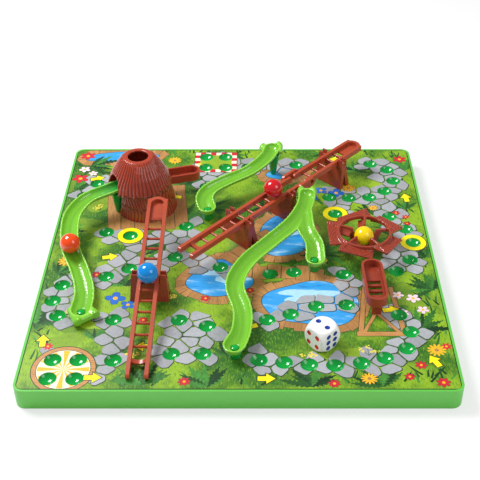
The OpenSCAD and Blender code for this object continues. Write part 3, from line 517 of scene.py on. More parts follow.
def holes_of(node):
    """(centre, radius) of every hole in a flat CAD sheet, in millimetres."""
    bm = merged(node)
    left = {face for face in bm.faces if abs(face.normal.z) < 0.5}
    holes = []
    while left:
        island = [left.pop()]
        for face in island:
            near = {other for edge in face.edges for other in edge.link_faces} & left
            left -= near
            island += near
        xs, ys = ([v.co[axis] / MM for face in island for v in face.verts] for axis in (0, 1))
        radius = (max(xs) - min(xs)) / 2
        if radius < BOARD_SIDE / 4:
            holes.append((((max(xs) + min(xs)) / 2, (max(ys) + min(ys)) / 2), radius))
    bm.free()
    return sorted(holes)


# Ponds: centre, reach along X and Y and turn, in millimetres and degrees
PONDS = (
    ((-16, -36), (29, 22), 18), ((38, 22), (23, 28), -12), ((58, -68), (38, 27), 6),
    ((-118, 151), (36, 8), 2), ((42, 122), (17, 11), 10))
# Wooden decks: centre, half sizes and turn
DECKS = (
    ((-86, 64), (36, 33), 6), ((34, -29), (36, 8.5), -4), ((8, 6), (28, 10), 47))
# Beams of wood: ends and half width
BEAMS = (
    ((102, -48), (94, -104), 1.9), ((123, -48), (128, -104), 1.9), ((91, -104), (135, -104), 2.4),
    ((108, -80), (97, -102), 1.4), ((109, -80), (124, -102), 1.4))
# Arrows: place and heading in degrees
ARROWS = (
    ((-151, -112), 95), ((-108, -151), 0), ((20, -152), 0), ((147, -134), 118), ((120, -76), 8),
    ((-73, -118), 183), ((-112, -8), 12), ((-62, 82), 170), ((152, 80), 96), ((92, 146), 175),
    ((-138, 112), 15), ((8, -96), 200))
# Tufts of leaves: place, heading, spread, count and length
TUFTS = (
    (-156, 96, 20, 130, 7, 20), (-146, 136, -20, 160, 9, 22), (-116, 116, 80, 130, 7, 15),
    (-46, 100, 60, 200, 10, 20), (-52, 50, 10, 200, 11, 20), (-66, 4, 140, 220, 11, 20),
    (-96, -46, 90, 160, 8, 15), (-154, -30, 50, 120, 8, 18), (-160, -92, 50, 110, 8, 22),
    (-72, -158, 90, 150, 11, 20), (-24, -160, 100, 130, 9, 19), (52, -160, 90, 130, 9, 18),
    (104, -160, 100, 140, 9, 20), (140, -98, 130, 260, 12, 22), (156, -52, 120, 170, 9, 18),
    (70, -4, 60, 240, 11, 18), (116, 56, 60, 190, 9, 16), (156, 126, 130, 150, 9, 20),
    (84, 158, 260, 140, 9, 18), (-14, 158, 260, 160, 9, 18), (64, 86, 200, 200, 10, 18),
    (-30, 64, 320, 200, 9, 17), (134, 22, 100, 100, 7, 13), (-160, 30, 40, 130, 8, 19),
    (22, 66, 200, 180, 8, 14), (-36, -110, 80, 150, 8, 14), (158, -8, 130, 140, 8, 16),
    (-112, -110, 70, 150, 7, 14), (-10, -128, 90, 140, 7, 13), (148, 62, 120, 180, 8, 15),
    (-96, 128, 200, 150, 8, 16), (108, 126, 90, 190, 9, 16))
# Blossoms by ink: place, size and petals
BLOSSOMS = (
    ("petal", ((-120, -32, 4.6, 7), (-146, -118, 4.4, 8), (-40, -155, 4.8, 8),
               (70, -157, 4.6, 8), (-152, 152, 7.4, 6), (-154, 112, 8.0, 5), (154, 146, 6.6, 6),
               (150, -156, 5.4, 7), (136, -138, 4.6, 7), (158, -118, 4.4, 7),
               (126, -150, 4.0, 7), (-28, -62, 4.0, 5), (-6, -60, 3.6, 5), (8, -52, 3.6, 5),
               (-76, -88, 4.0, 7))),
    ("blush", ((-152, 128, 5.6, 5), (-143, 121, 4.6, 5), (128, -58, 5.0, 5), (140, -62, 6.0, 5),
               (146, -76, 5.2, 5), (130, -80, 4.8, 5))),
    ("sun", ((-148, -14, 7.5, 11), (150, -122, 7.5, 12), (96, -152, 6.5, 12), (100, 96, 7.0, 12),
             (-66, 144, 6.6, 11))),
    ("bell", ((-101, -62, 8.4, 4), (-90, -70, 6.2, 4), (88, 88, 7.6, 4), (74, 92, 6.2, 4),
              (66, 80, 5.2, 4))),
    ("sun", ((120, 64, 4.6, 9),)),
    ("petal", ((140, 56, 3.8, 6), (148, 50, 3.6, 6), (148, 40, 3.2, 6))))
# Sprigs of small yellow buds: place and reach
SPRIGS = (
    (-60, -66, 11), (74, -18, 9), (98, -128, 10), (-40, 128, 10), (-133, -84, 8), (34, 94, 7),
    (-82, -132, 8), (-128, 60, 8), (52, -132, 8))
# Spaces with a yellow ring, about where each lies
RINGED = ((149.7, 12.3), (84.7, 54.9), (-97.3, 22.0))
LONGEST_STEP = 56.0
BANK_WIDTH = 9.0
SHEET_CORNER = 5.7
MISSING_STONES = 0.05
# How far a stone's dark edge and its face stay behind the middle between two stones
STONE_INSETS = (0.22, 0.62)
MEADOW_PATCHES = 84
EDGE_BLADES = 52
INKS = ("grass", "meadow", "outline", "stone", "water", "sheen", "wood", "mark", "leaf", "petal",
        "blush", "sun", "bell", "bud", "paper")


def on_deck(point):
    """Whether a point lies on one of the wooden decks."""
    for at, half, angle in DECKS:
        offset = (point[0] - at[0], point[1] - at[1])
        ((x, y),) = turned([offset], (0, 0), -radians(angle))
        if abs(x) < half[0] + 2 and abs(y) < half[1] + 2:
            return True
    return False


def draw_paving(art, spaces, settings, draw):
    """Paving stones along the way from space to space."""
    reach = settings.path_reach / MM
    ways = [(a, b) for a in spaces for b in sorted(spaces, key=lambda s: dist(a, s))[1:3]
            if dist(a, b) < LONGEST_STEP]
    long_step, deep_step = settings.stone_length / MM, settings.stone_depth / MM
    rows, columns = int(BOARD_SIDE / deep_step) + 4, int(BOARD_SIDE / long_step) + 4
    seeds = [((column - columns / 2 + 0.5 * (row % 2) + draw.uniform(-0.3, 0.3)) * long_step,
              (row - rows / 2 + draw.uniform(-0.26, 0.26)) * deep_step)
             for row in range(rows) for column in range(columns)]
    for x, y in seeds:
        if max(abs(x), abs(y)) > BOARD_SIDE / 2 - 8:
            continue
        near = min(to_segment((x, y), a, b) for a, b in ways)
        if near > reach or on_deck((x, y)) or draw.random() < MISSING_STONES:
            continue
        shapes = [block(x - 15, y - 15, x + 15, y + 15)] * 2
        for other in seeds:
            length = dist((x, y), other)
            if 0 < length < 30:
                normal = ((other[0] - x) / length, (other[1] - y) / length)
                for index, inset in enumerate(STONE_INSETS):
                    half = length / 2 - inset
                    point = (x + normal[0] * half, y + normal[1] * half)
                    shapes[index] = clipped(shapes[index], point, normal)
        outer, inner = shapes
        if len(inner) > 2 and len(outer) > 2:
            art.add([(a + 0.35, b - 0.45) for a, b in rounded(outer, 0.12)], 5, "outline")
            art.add(rounded(inner, 0.15), 6, "stone", draw.random())


def draw_ponds(art, draw):
    """Ponds, each with a bank of short planks that lie square to the shore."""
    for at, reach, angle in PONDS:
        shore = blob(at, reach, draw, 0.13, 60, radians(angle))
        outer = grown(shore, BANK_WIDTH)
        for index in range(0, len(shore), 2):
            after = (index + 2) % len(shore)
            a, b, c, d = shore[index], shore[after], outer[after], outer[index]
            way = (c[0] + d[0] - a[0] - b[0], c[1] + d[1] - a[1] - b[1])
            push = draw.uniform(-1.6, 1.6) / (hypot(*way) or 1.0)
            plank = [a, b] + [(x + way[0] * push, y + way[1] * push) for x, y in (c, d)]
            art.add(grown(plank, 0.5), 1, "outline")
            art.add(grown(plank, -0.12), 2, "wood", draw.random(), atan2(way[1], way[0]))
        art.add(grown(shore, 0.6), 3, "outline")
        art.add(shore, 4, "water", draw.random())
        if min(reach) > 12:
            for _ in range(4):
                spot = (at[0] + draw.uniform(-0.3, 0.5) * reach[0],
                        at[1] + draw.uniform(-0.2, 0.5) * reach[1])
                size = (reach[0] * 0.40, reach[1] * 0.20)
                art.add(blob(spot, size, draw, 0.25, 30), 4.5, "sheen")


def draw_wood(art, draw):
    """Decks of planks, and beams."""
    for at, half, angle in DECKS:
        turn = radians(angle)
        count = int(half[0] / 5.2)
        width = 2 * half[0] / count
        for plank in range(count):
            x = -half[0] + (plank + 0.5) * width
            near, far = (half[1] + draw.uniform(-2.2, 2.2) for _ in range(2))
            for inset, layer, ink in ((0.0, 5.2, "outline"), (0.32, 5.4, "wood")):
                w = width / 2 - inset
                shape = turned(block(x - w, inset - near, x + w, far - inset), at, turn)
                art.add(shape, layer, ink, draw.random(), turn + pi / 2)
    for a, b, half in BEAMS:
        turn = atan2(b[1] - a[1], b[0] - a[0])
        for inset, layer, ink in ((-0.45, 7.2, "outline"), (0.0, 7.4, "wood")):
            beam = block(inset, inset - half, dist(a, b) - inset, half - inset)
            art.add(turned(beam, a, turn), layer, ink, draw.uniform(0.7, 1.0), turn)


def draw_marks(art, ringed):
    """Arrows, and rings round some of the spaces."""
    arrow = [(-6.2, -2.3), (0.2, -2.3), (0.2, -5.2), (7.0, 0), (0.2, 5.2), (0.2, 2.3), (-6.2, 2.3)]
    border = [(-6.9, -3.0), (-0.5, -3.0), (-0.5, -6.5), (8.1, 0), (-0.5, 6.5), (-0.5, 3.0),
              (-6.9, 3.0)]
    for at, heading in ARROWS:
        art.add(turned(border, at, radians(heading)), 11, "outline")
        art.add(turned(arrow, at, radians(heading)), 12, "mark")
    for x, y in ringed:
        art.add(circle((x + 0.3, y - 0.4), 11.8, 48), 11, "outline")
        art.add(circle((x, y), 11.2, 48), 12, "mark")


def frond(size, half, bend, teeth):
    """A leaf along X with a toothed edge, from its stem to its tip."""
    upper, lower = [], []
    for tooth in range(teeth):
        for share, width in ((tooth / teeth, 0.45), ((tooth + 0.8) / teeth, 1.0)):
            reach = half * width * sin(pi * (0.12 + 0.86 * share))
            upper.append((size * share, reach + bend * share * share))
            lower.append((size * share, -reach + bend * share * share))
    return upper + [(size, bend)] + lower[::-1]


def draw_plants(art, draw):
    """Meadow, blades along the edges, tufts, blossoms and sprigs."""
    for _ in range(MEADOW_PATCHES):
        at = (draw.uniform(-152, 152), draw.uniform(-152, 152))
        patch = blob(at, (draw.uniform(7, 20), draw.uniform(4, 11)), draw, 0.25, 26)
        art.add(patch, 0.5, "meadow", draw.random())
    for edge in range(4):
        for _ in range(EDGE_BLADES):
            root = turned([(draw.uniform(-156, 156), draw.uniform(-160, -146))], (0, 0),
                          edge * pi / 2)[0]
            size = draw.uniform(7, 16)
            tip = (size, draw.uniform(-2, 2))
            blade = [(0, -0.9), (size * 0.6, -0.7), tip, (size * 0.6, 0.7), (0, 0.9)]
            art.add(turned(blade, root, draw.uniform(0.7, 2.4)), 0.8, "leaf", draw.random())
    for x, y, heading, spread, count, length in TUFTS:
        for index in range(count):
            share = index / (count - 1) - 0.5
            angle = radians(heading + spread * share + draw.uniform(-7, 7))
            size = length * draw.uniform(0.9, 1.35)
            leaf = frond(size, size * 0.15, draw.uniform(-0.14, 0.14) * size, 7)
            art.add(turned(leaf, (x, y), angle), 4.7 + 0.01 * index, "leaf", draw.random(), angle)
    for ink, x, y, size, petals in [(ink, *row) for ink, rows in BLOSSOMS for row in rows]:
        phase = draw.uniform(0, 6.28)
        points = []
        for step in range(petals * 8):
            angle = 2 * pi * step / (petals * 8)
            reach = size * (0.36 + 0.64 * abs(cos(petals * angle / 2 + phase)) ** 0.7)
            points.append((x + reach * cos(angle), y + reach * sin(angle) * 0.9))
        art.add(grown(points, 0.3), 9, "outline")
        art.add(points, 9.2, ink, draw.random())
        art.add(circle((x, y), size * 0.24, 12), 9.4, "sun" if ink != "sun" else "wood")
    for x, y, reach in SPRIGS:
        for _ in range(5):
            angle = draw.uniform(0.5, 2.6)
            tip = (x + reach * cos(angle), y + reach * sin(angle))
            stem = [(x - 0.2, y), (x + 0.2, y), (tip[0] + 0.15, tip[1]), (tip[0] - 0.15, tip[1])]
            art.add(stem, 9.5, "leaf", 0.1)
            for _ in range(5):
                place = between((x, y), tip, draw.uniform(0.45, 1.05))
                bud = (place[0] + draw.uniform(-1.6, 1.6), place[1] + draw.uniform(-1.4, 1.4))
                art.add(circle(bud, draw.uniform(0.55, 0.9), 8), 9.6, "bud", draw.random())


def draw_start_and_end(art, spaces):
    """A round bed under the four starting spaces and a chequered mat under the last four."""
    start = [s for s in spaces if s[0] < -110 and s[1] < -125]
    end = [s for s in spaces if -40 < s[0] < -10 and s[1] > 125]
    bed, (x, y) = ([sum(s[k] for s in four) / len(four) for k in (0, 1)] for four in (start, end))
    for radius, layer, ink in ((24.5, 7, "outline"), (23.8, 7.1, "wood"), (20.5, 7.15, "outline"),
                               (20.0, 7.2, "paper")):
        art.add(circle(bed, radius, 60), layer, ink, 0.9)
    for ray in range(12):
        art.add(turned([(0, 0), (19.4, -2.4), (19.4, 2.4)], bed, radians(ray * 30)), 7.25, "sun")
    art.add(block(x - 21, y - 18, x + 21, y + 18), 7, "outline")
    for column in range(8):
        for row in range(7):
            a, b = x - 20.4 + column * 5.1, y - 17.4 + row * 4.971
            inner = 1 <= column <= 6 and 1 <= row <= 5
            ink = "meadow" if inner else ("paper", "petal")[(column + row) % 2]
            art.add(block(a, b, a + 5.1, b + 4.971), 7.1, ink, 0.9)


def print_sheet(art, outline, holes):
    """The sheet's mesh: one flat triangulation of all the shapes, the top layer's ink showing."""
    art.add(outline, 0, "grass")
    for at, radius in holes:
        art.add(circle(at, radius, 40 if radius > 5 else 24), 99, "hole")
    places, _, faces, _, _, origins = delaunay_2d_cdt(art.points, [], art.faces, 1, 1e-3, True)
    bm = bmesh.new()
    tone = bm.faces.layers.float.new("tone")
    grain = bm.loops.layers.uv.new("grain")
    points = [bm.verts.new((p.x * MM, p.y * MM, SURFACE_Z * MM)) for p in places]
    for corners, owners in zip(faces, origins):
        stack = [art.facts[owner] for owner in owners]
        if all(facts[1] != "grass" for facts in stack):
            continue
        _, ink, own_tone, turn = max(stack)
        if ink == "hole":
            continue
        face = bm.faces.new([points[corner] for corner in corners])
        face.material_index = INKS.index(ink)
        face[tone] = own_tone
        for loop in face.loops:
            loop[grain].uv = turned([loop.vert.co.xy], (0, 0), -turn)[0]
    bmesh.ops.delete(bm, geom=[v for v in bm.verts if not v.link_faces], context="VERTS")
    bmesh.ops.recalc_face_normals(bm, faces=bm.faces)
    if sum(face.normal.z for face in bm.faces) < 0:
        bmesh.ops.reverse_faces(bm, faces=bm.faces)
    return new_piece("printed_sheet", bm)


def ink_materials(settings):
    """One material for each ink, all on the same varnished card."""
    plain = {"outline": srgb(46, 62, 34), "mark": settings.mark, "petal": settings.petal,
             "blush": srgb(246, 214, 224), "sun": srgb(244, 184, 30), "bell": srgb(30, 104, 200),
             "bud": srgb(232, 214, 70), "paper": srgb(236, 232, 206), "sheen": srgb(168, 216, 242)}
    lawn, dark, wood = settings.grass, settings.grass_dark, settings.wood
    materials = []
    for ink in INKS:
        material, tree, surface, vector = new_material("print_" + ink)
        tone = tree.attribute("tone")
        fine = tree.noise(vector, 420.0, 3.0, 0.6)
        if ink in ("grass", "meadow"):
            blades = tree.noise(vector, (900.0, 260.0, 1.0), 2.0, 0.6, 0.1)
            colour = tree.fade(lawn, dark, tree.noise(vector, 26.0, 3.0, 0.55), 0.36, 0.62)
            colour = tree.fade(colour, shade(lawn, 1.35), blades, 0.5, 0.75, 0.55)
            colour = tree.fade(colour, shade(dark, 0.62), blades, 0.46, 0.30, 0.6)
            if ink == "meadow":
                tint = tree.mix(tone, shade(dark, 0.7), srgb(168, 200, 46))
                colour = tree.mix(0.55, colour, tint)
        elif ink == "stone":
            speckle = tree.band(fine, 0.3, 0.7, -0.07, 0.07)
            value = tree.plus(tree.band(tone, 0.0, 1.0, 0.84, 1.10), speckle)
            colour = tree.value_shift(settings.stone, value)
        elif ink == "water":
            ripples = tree.noise(vector, (45.0, 160.0, 1.0), 3.0, 0.6)
            colour = tree.fade(settings.water, srgb(206, 236, 250), ripples, 0.50, 0.80, 0.8)
            colour = tree.fade(colour, srgb(30, 122, 198), ripples, 0.44, 0.26)
        elif ink == "wood":
            own = tree.add("UVMap", uv_map="grain").outputs[0]
            fibres = tree.noise(own, (70.0, 1500.0, 1.0), 3.0, 0.55)
            colour = tree.value_shift(wood, tree.band(tone, 0.0, 1.0, 0.80, 1.10))
            colour = tree.fade(colour, shade(wood, 0.42), fibres, 0.50, 0.66, 0.75)
        elif ink == "leaf":
            light = tree.maths("POWER", tone, 1.6)
            colour = tree.mix(light, shade(settings.leaf, 0.5), srgb(70, 146, 50))
            colour = tree.value_shift(colour, tree.band(fine, 0.3, 0.7, 0.8, 1.25))
        else:
            colour = tree.value_shift(plain[ink], tree.band(fine, 0.3, 0.7, 0.93, 1.05))
        rough = settings.roughness
        rough = tree.band(tree.noise(vector, 160.0), 0.2, 0.8, rough - 0.05, rough + 0.06)
        tree.feed(surface["Base Color"], colour)
        tree.feed(surface["Roughness"], rough)
        set_bump(tree, surface, tree.times(tree.noise(vector, 1500.0), 0.004))
        materials.append(material)
    return materials


class BOARD_OT_sheet(bpy.types.Operator):
    """Makes the printed play sheet, with paving, ponds, planks and plants of a generic garden"""
    bl_idname = "board.sheet"
    bl_label = "Play sheet"

    def execute(self, context):
        settings = context.scene.board_sheet
        draw = random.Random(11)
        low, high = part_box("play_sheet")
        half = (high[0] - low[0]) / 2 / MM
        centre = half - SHEET_CORNER
        outline = []
        for quarter in range(4):
            for step in range(9):
                angle = pi / 2 * step / 8
                point = (centre + SHEET_CORNER * cos(angle), centre + SHEET_CORNER * sin(angle))
                outline += turned([point], (0, 0), pi / 2 * quarter)
        holes = holes_of("play_sheet")
        spaces = [at for at, radius in holes if radius > 6]
        ringed = [min(spaces, key=lambda s: dist(s, at)) for at in RINGED]
        art = Artwork()
        # A dark band along each edge of the sheet: painted shade of the gap between the sheet and
        # the tray's rim
        for edge in range(4):
            border = block(-half, half - 0.5, half, half)
            art.add(turned(border, (0, 0), edge * pi / 2), 20, "outline")
        draw_ponds(art, draw)
        draw_paving(art, spaces, settings, draw)
        draw_wood(art, draw)
        draw_marks(art, ringed)
        draw_plants(art, draw)
        draw_start_and_end(art, spaces)
        piece = print_sheet(art, outline, holes)
        paint(piece, *ink_materials(settings))
        modify(piece, "Thickness", "SOLIDIFY", thickness=high[2] - low[2], offset=-1.0)
        apply_modifiers(piece)
        stand_for(piece, "play_sheet", "board")
        return {"FINISHED"}


# The tray, the spaces and the posts

class BOARD_OT_tray(bpy.types.Operator):
    """Finishes the tray, the plate of dished spaces, the posts and the screws"""
    bl_idname = "board.tray"
    bl_label = "Tray and posts"

    def execute(self, context):
        settings = context.scene.board_tray
        tray = plain_plastic("tray_plastic", settings.tray, 0.34, grain=0.008, shift=0.1, wear=0.75)
        deep = plain_plastic("deep_green_plastic", settings.deep, 0.13, grain=0.002, shift=0.16,
                             wear=0.5, coat=0.3)
        steel, tree, surface, vector = new_material("screw_steel")
        rings = tree.noise(vector, (300.0, 2600.0, 300.0))
        tree.feed(surface["Base Color"], tree.mix(rings, (0.42, 0.42, 0.44), (0.62, 0.62, 0.63)))
        tree.feed(surface["Metallic"], 1.0)
        tree.feed(surface["Roughness"], tree.band(rings, 0.3, 0.7, 0.24, 0.42))
        paint(NODES["space_plate"], deep)
        shade_smooth(NODES["space_plate"])
        dress("base_tray", tray, settings.edge_radius)
        dress(("_post", "_pin"), deep, 0.0003)
        dress(("tray_screws", "wheel_axle"), steel, 0.0002)
        return {"FINISHED"}


# The snakes

def smooth_route(route, steps=8):
    """Points along a smooth curve through a route, in millimetres, as the CAD model has it."""
    scale = np.array([BOARD_SIDE, BOARD_SIDE, SNAKE_RISE, SNAKE_WIDTH])
    points = [np.array(row) * scale + (0, 0, SURFACE_Z, 0) for row in route]
    line = []
    for a, b, c, d in zip(points[:1] + points, points, points[1:], points[2:] + points[-1:]):
        for step in range(steps):
            t = step / steps
            line.append((2 * b + (c - a) * t + (2 * a - 5 * b + 4 * c - d) * t * t
                         + (3 * b - a - 3 * c + d) * t ** 3) / 2)
    return np.array(line + points[-1:])


def along_route(places, route):
    """For every place: how far along the route and to its side, the rim's height and half width."""
    line = smooth_route(route)
    spans = np.diff(line[:, :2], axis=0)
    lengths = np.linalg.norm(spans, axis=1)
    before = np.concatenate([[0.0], np.cumsum(lengths)])
    best = np.full(len(places), 1e9)
    result, outward = np.zeros((len(places), 4)), np.zeros((len(places), 2))
    for index, (span, length) in enumerate(zip(spans, lengths)):
        offset = places[:, :2] - line[index, :2]
        share = np.clip(offset @ span / length ** 2, 0.0, 1.0)
        gap = offset - share[:, None] * span
        distance = np.linalg.norm(gap, axis=1)
        nearer = distance < best
        best = np.where(nearer, distance, best)
        a, b = line[index:index + 2]
        rim, width = (a[k] + share * (b[k] - a[k]) for k in (2, 3))
        facts = np.stack([before[index] + share * length, distance, rim, width], axis=1)
        result[nearer] = facts[nearer]
        outward[nearer] = (gap / np.maximum(distance, 1e-6)[:, None])[nearer]
    return result, outward, before[-1]


def ripple(places, scale, phase=0.0):
    """A cheap smooth pattern between -1 and 1."""
    x, y, z = places.T * scale
    return (np.sin(x * 1.7 + 1.3 * np.sin(y * 1.1 + phase))
            + np.sin(y * 1.9 + 1.7 * np.sin(z * 1.3 + x + phase))
            + np.sin(z * 1.5 + 1.1 * np.sin(x * 1.2 - phase))) / 3


def ramp(value, width=1.0):
    """Rises from 0 to 1 while the value goes from 0 to the width."""
    return np.clip(value / width, 0.0, 1.0)


def dress_snake(node, routes, settings, material, mouth_shade=False):
    piece, places, normals = remeshed(node, node + "_skin", settings.voxel)
    rows = [along_route(places, route) for route in routes]
    own = np.argmin([row[0][:, 1] / row[0][:, 3] for row in rows], axis=0)
    facts, outward = (np.choose(own[:, None], [row[k] for row in rows]) for k in (0, 1))
    along, aside, rim, width = facts.T
    below = rim - places[:, 2]
    up = normals[:, 2]
    side = ramp(aside - 0.62 * width, 0.2 * width) * ramp(3.6 - below, 1.6)
    outer = ramp(np.sum(outward * normals[:, :2], axis=1), 0.5)
    scallop = np.abs(np.sin(np.pi * along / (settings.scale_pitch / MM)))
    move = side * outer * (scallop - 0.45) * settings.scale_depth / MM
    places[:, :2] += outward * move[:, None]
    inside = ramp(0.8 * width - aside, 0.3 * width) * ramp(up * 2 - 0.6)
    ends = np.minimum(along, max(row[2] for row in rows) - along)
    fade = ramp(ends - 4.0, 8.0)
    bumps = (1 - fade) * (1 - inside) * ramp(up + 0.3)
    places += normals * (bumps * 0.16 * ripple(places, 3.1))[:, None]
    places += normals * (inside * fade * 0.05 * ripple(places, 0.9, 2.0))[:, None]
    move_points(piece, places)
    # rim: the rim's top and the outer scales, painted lighter as a painted highlight
    top = ramp(1.0 - below, 0.7) * ramp(aside - 0.78 * width, 0.10 * width)
    top *= ramp(1.16 * width - aside, 0.08 * width)
    scaly = side * outer * (0.2 + 0.35 * scallop) * (aside < 1.15 * width)
    store(piece, "rim", np.maximum(top, scaly))
    # Painted shade near the hut, fading out over 34 mm
    store(piece, "mouth_shade", ramp(34.0 - along, 34.0) * mouth_shade)
    # trough: darker towards the middle of the channel, painted shade in the recess
    store(piece, "trough", inside * ramp(0.5 * width - aside, 0.5 * width))
    paint(piece, material)
    stand_for(piece, node, "board")


class BOARD_OT_snakes(bpy.types.Operator):
    """Makes the three snakes with scalloped rims and scaly heads"""
    bl_idname = "board.snakes"
    bl_label = "Snakes"

    def execute(self, context):
        settings = context.scene.board_snake
        material, tree, surface, vector = new_material("snake_plastic")
        # Painted shade: darker in the channel's middle and at the end that leaves the hut; painted
        # highlight: lighter rims and scales
        colour = tree.mix(tree.attribute("trough"), settings.body, shade(settings.body, 0.72))
        colour = tree.mix(tree.attribute("mouth_shade"), colour, settings.shadow)
        colour = tree.mix(tree.attribute("rim"), colour, settings.rim)
        patches = tree.add("TexVoronoi", {"Vector": vector, "Scale": 420.0}).outputs["Distance"]
        height = tree.times(tree.band(patches, 0.15, 0.6), -0.012)
        finish_plastic(tree, surface, vector, colour, 0.20, grain=0.004, shift=0.18, wear=0.1,
                       coat=0.4, height=height)
        dress_snake("snake_left", (LEFT_ROUTE,), settings, material, mouth_shade=True)
        dress_snake("snake_back", (BACK_ROUTE,), settings, material)
        dress_snake("snake_fork", (LONG_ROUTE, SHORT_ROUTE), settings, material)
        return {"FINISHED"}


# The hut

# Tiers of thatch: lowest height above the surface, strands, phase and lift of the lower edge
TIERS = ((-2.0, 56, 0.0, 0.0), (12.5, 54, 1.1, 0.50), (25.5, 50, 2.3, 0.62))


def polar(offset):
    return np.linalg.norm(offset, axis=1), np.arctan2(offset[:, 1], offset[:, 0])


def dress_hut(settings, material):
    """The hut's shell, carved into strands of thatch in ragged tiers."""
    piece, places, normals = remeshed("hut_shell", "hut_thatch", settings.voxel)
    height = places[:, 2] - SURFACE_Z
    lean = ramp(height - 8.0, 16.0)
    offset = places[:, :2] - np.array(HUT_AT) - lean[:, None] * np.array(ROOF_LEAN)
    radius, angle = polar(offset)
    outward = np.sum(offset / np.maximum(radius, 1e-6)[:, None] * normals[:, :2], axis=1)
    skin = ramp(outward * 3.0 - 0.3) * ramp(radius - 6.0, 3.0)
    strand, lift = np.ones(len(places)), np.zeros(len(places))
    for low, count, phase, step in TIERS:
        ragged = 1.1 * np.sin(angle * 17 + phase) + 0.9 * np.sin(angle * 37 + 2 * phase)
        above = height - low - ragged
        wander = np.sin(height * 0.22 + 2 * np.sin(3 * angle + phase))
        drift = 0.7 * np.sin(5 * angle + phase) + 0.5 * wander
        wave = np.abs(np.sin(0.5 * count * angle + phase + drift)) ** 0.8
        broken = 0.93 + 0.07 * np.sin(height * 0.5 + 2 * np.sin(angle * 7 + phase))
        inside = ramp(above, 0.5)
        strand = strand * (1 - inside) + inside * wave * broken
        # A dark band just beneath each tier's ragged edge, carved and painted: painted shade under
        # the tier
        strand *= 1.0 - 0.85 * (step > 0) * np.exp(-((above + 0.6) / 0.85) ** 2)
        lift = lift * (1 - inside) + inside * step * ramp(7.0 - above, 7.0)
    places += normals * (skin * (lift + settings.strand_depth / MM * (strand - 1.0)))[:, None]
    move_points(piece, places)
    # strand darkens the grooves and the bands under the tiers: painted shade
    store(piece, "strand", 1.0 - skin * (1.0 - strand))
    paint(piece, material)
    stand_for(piece, "hut_shell", "board")


def dress_wheel(settings, material):
    """The wheel, its paddles with a carved grain."""
    piece, places, normals = remeshed("water_wheel", "wheel_body", settings.voxel * 0.9)
    offset = places[:, :2] - np.array(WHEEL_AT)
    radius, angle = polar(offset)
    fifth, first = 2 * pi / 5, radians(11)
    paddle = np.round((angle - first) / fifth) * fifth + first
    across = offset[:, 0] * np.cos(paddle) + offset[:, 1] * np.sin(paddle)
    beside = -offset[:, 0] * np.sin(paddle) + offset[:, 1] * np.cos(paddle)
    bend = 1.2 * np.sin(beside * 0.22 + paddle * 3) + 0.4 * np.sin(beside * 0.6 + across)
    groove = np.abs(np.sin(across * 1.15 + bend)) ** 0.6
    face = ramp(radius - 23.6) * ramp(np.abs(normals[:, 2]) * 2 - 0.8)
    places += normals * (face * (groove - 1.0) * 0.42)[:, None]
    move_points(piece, places)
    # The carved grooves painted darker: painted shade
    store(piece, "strand", 1.0 - face * (1.0 - groove) * 0.9)
    paint(piece, material)
    stand_for(piece, "water_wheel", "wheel")


def brown_material(name, colour, groove, roughness, coat):
    """Brown plastic, darker in the grooves of the piece: painted shade."""
    material, tree, surface, vector = new_material(name)
    colour = tree.fade(groove, colour, tree.attribute("strand"), 0.0, 0.9)
    finish_plastic(tree, surface, vector, colour, roughness, shift=0.22, wear=0.35, coat=coat)
    return material


class BOARD_OT_hut(bpy.types.Operator):
    """Makes the thatched hut and finishes its floor and chute"""
    bl_idname = "board.hut"
    bl_label = "Hut"

    def execute(self, context):
        settings = context.scene.board_brown
        brown = settings.hut
        dress_hut(settings, brown_material("hut_plastic", brown, settings.hut_groove_shade, 0.17, 0.6))
        plain = plain_plastic("hut_floor_plastic", brown, 0.26, shift=0.2, wear=0.4, coat=0.2)
        dress(("hut_splitter", "hut_chute"), plain, BROWN_EDGE)
        return {"FINISHED"}


class BOARD_OT_wheel(bpy.types.Operator):
    """Makes the water wheel with its grained paddles and finishes the trough"""
    bl_idname = "board.wheel"
    bl_label = "Water wheel"

    def execute(self, context):
        settings = context.scene.board_brown
        brown = settings.wheel
        # The grooves take a darker brown: painted shade
        dress_wheel(settings, brown_material("wheel_plastic", brown, shade(brown, 0.28), 0.24, 0.3))
        plain = plain_plastic("trough_plastic", brown, 0.28, shift=0.22, wear=0.5, coat=0.2)
        dress("wheel_trough", plain, BROWN_EDGE)
        return {"FINISHED"}


class BOARD_OT_ladders(bpy.types.Operator):
    """Finishes the three ladders and their stands"""
    bl_idname = "board.ladders"
    bl_label = "Ladders"

    def execute(self, context):
        settings = context.scene.board_brown
        for kind, colour, roughness, coat in (("ladder_", settings.ladder, 0.30, 0.15),
                                              ("stand_", settings.wheel, 0.27, 0.2)):
            plastic = plain_plastic(kind + "plastic", colour, roughness, shift=0.24, wear=0.6,
                                    coat=coat)
            dress(kind, plastic, BROWN_EDGE)
        return {"FINISHED"}


class BOARD_OT_marbles(bpy.types.Operator):
    """Finishes the four marbles"""
    bl_idname = "board.marbles"
    bl_label = "Marbles"

    def execute(self, context):
        for name in ("orange", "blue", "red", "yellow"):
            colour = getattr(context.scene.board_marble, name)
            material, tree, surface, vector = new_material(name + "_marble_plastic")
            swirl = tree.noise(vector, (90.0, 160.0, 60.0), 3.0, turn=0.7)
            mixed = tree.fade(colour, shade(colour, 0.9), swirl, 0.35, 0.7, 0.5)
            finish_plastic(tree, surface, vector, mixed, 0.12, grain=0.0015, shift=0.05, wear=0.0,
                           coat=0.5)
            piece = NODES["marble_" + name]
            paint(piece, material)
            modify(piece, "Weld", "WELD", merge_threshold=WELD)
            shade_smooth(piece)
        return {"FINISHED"}


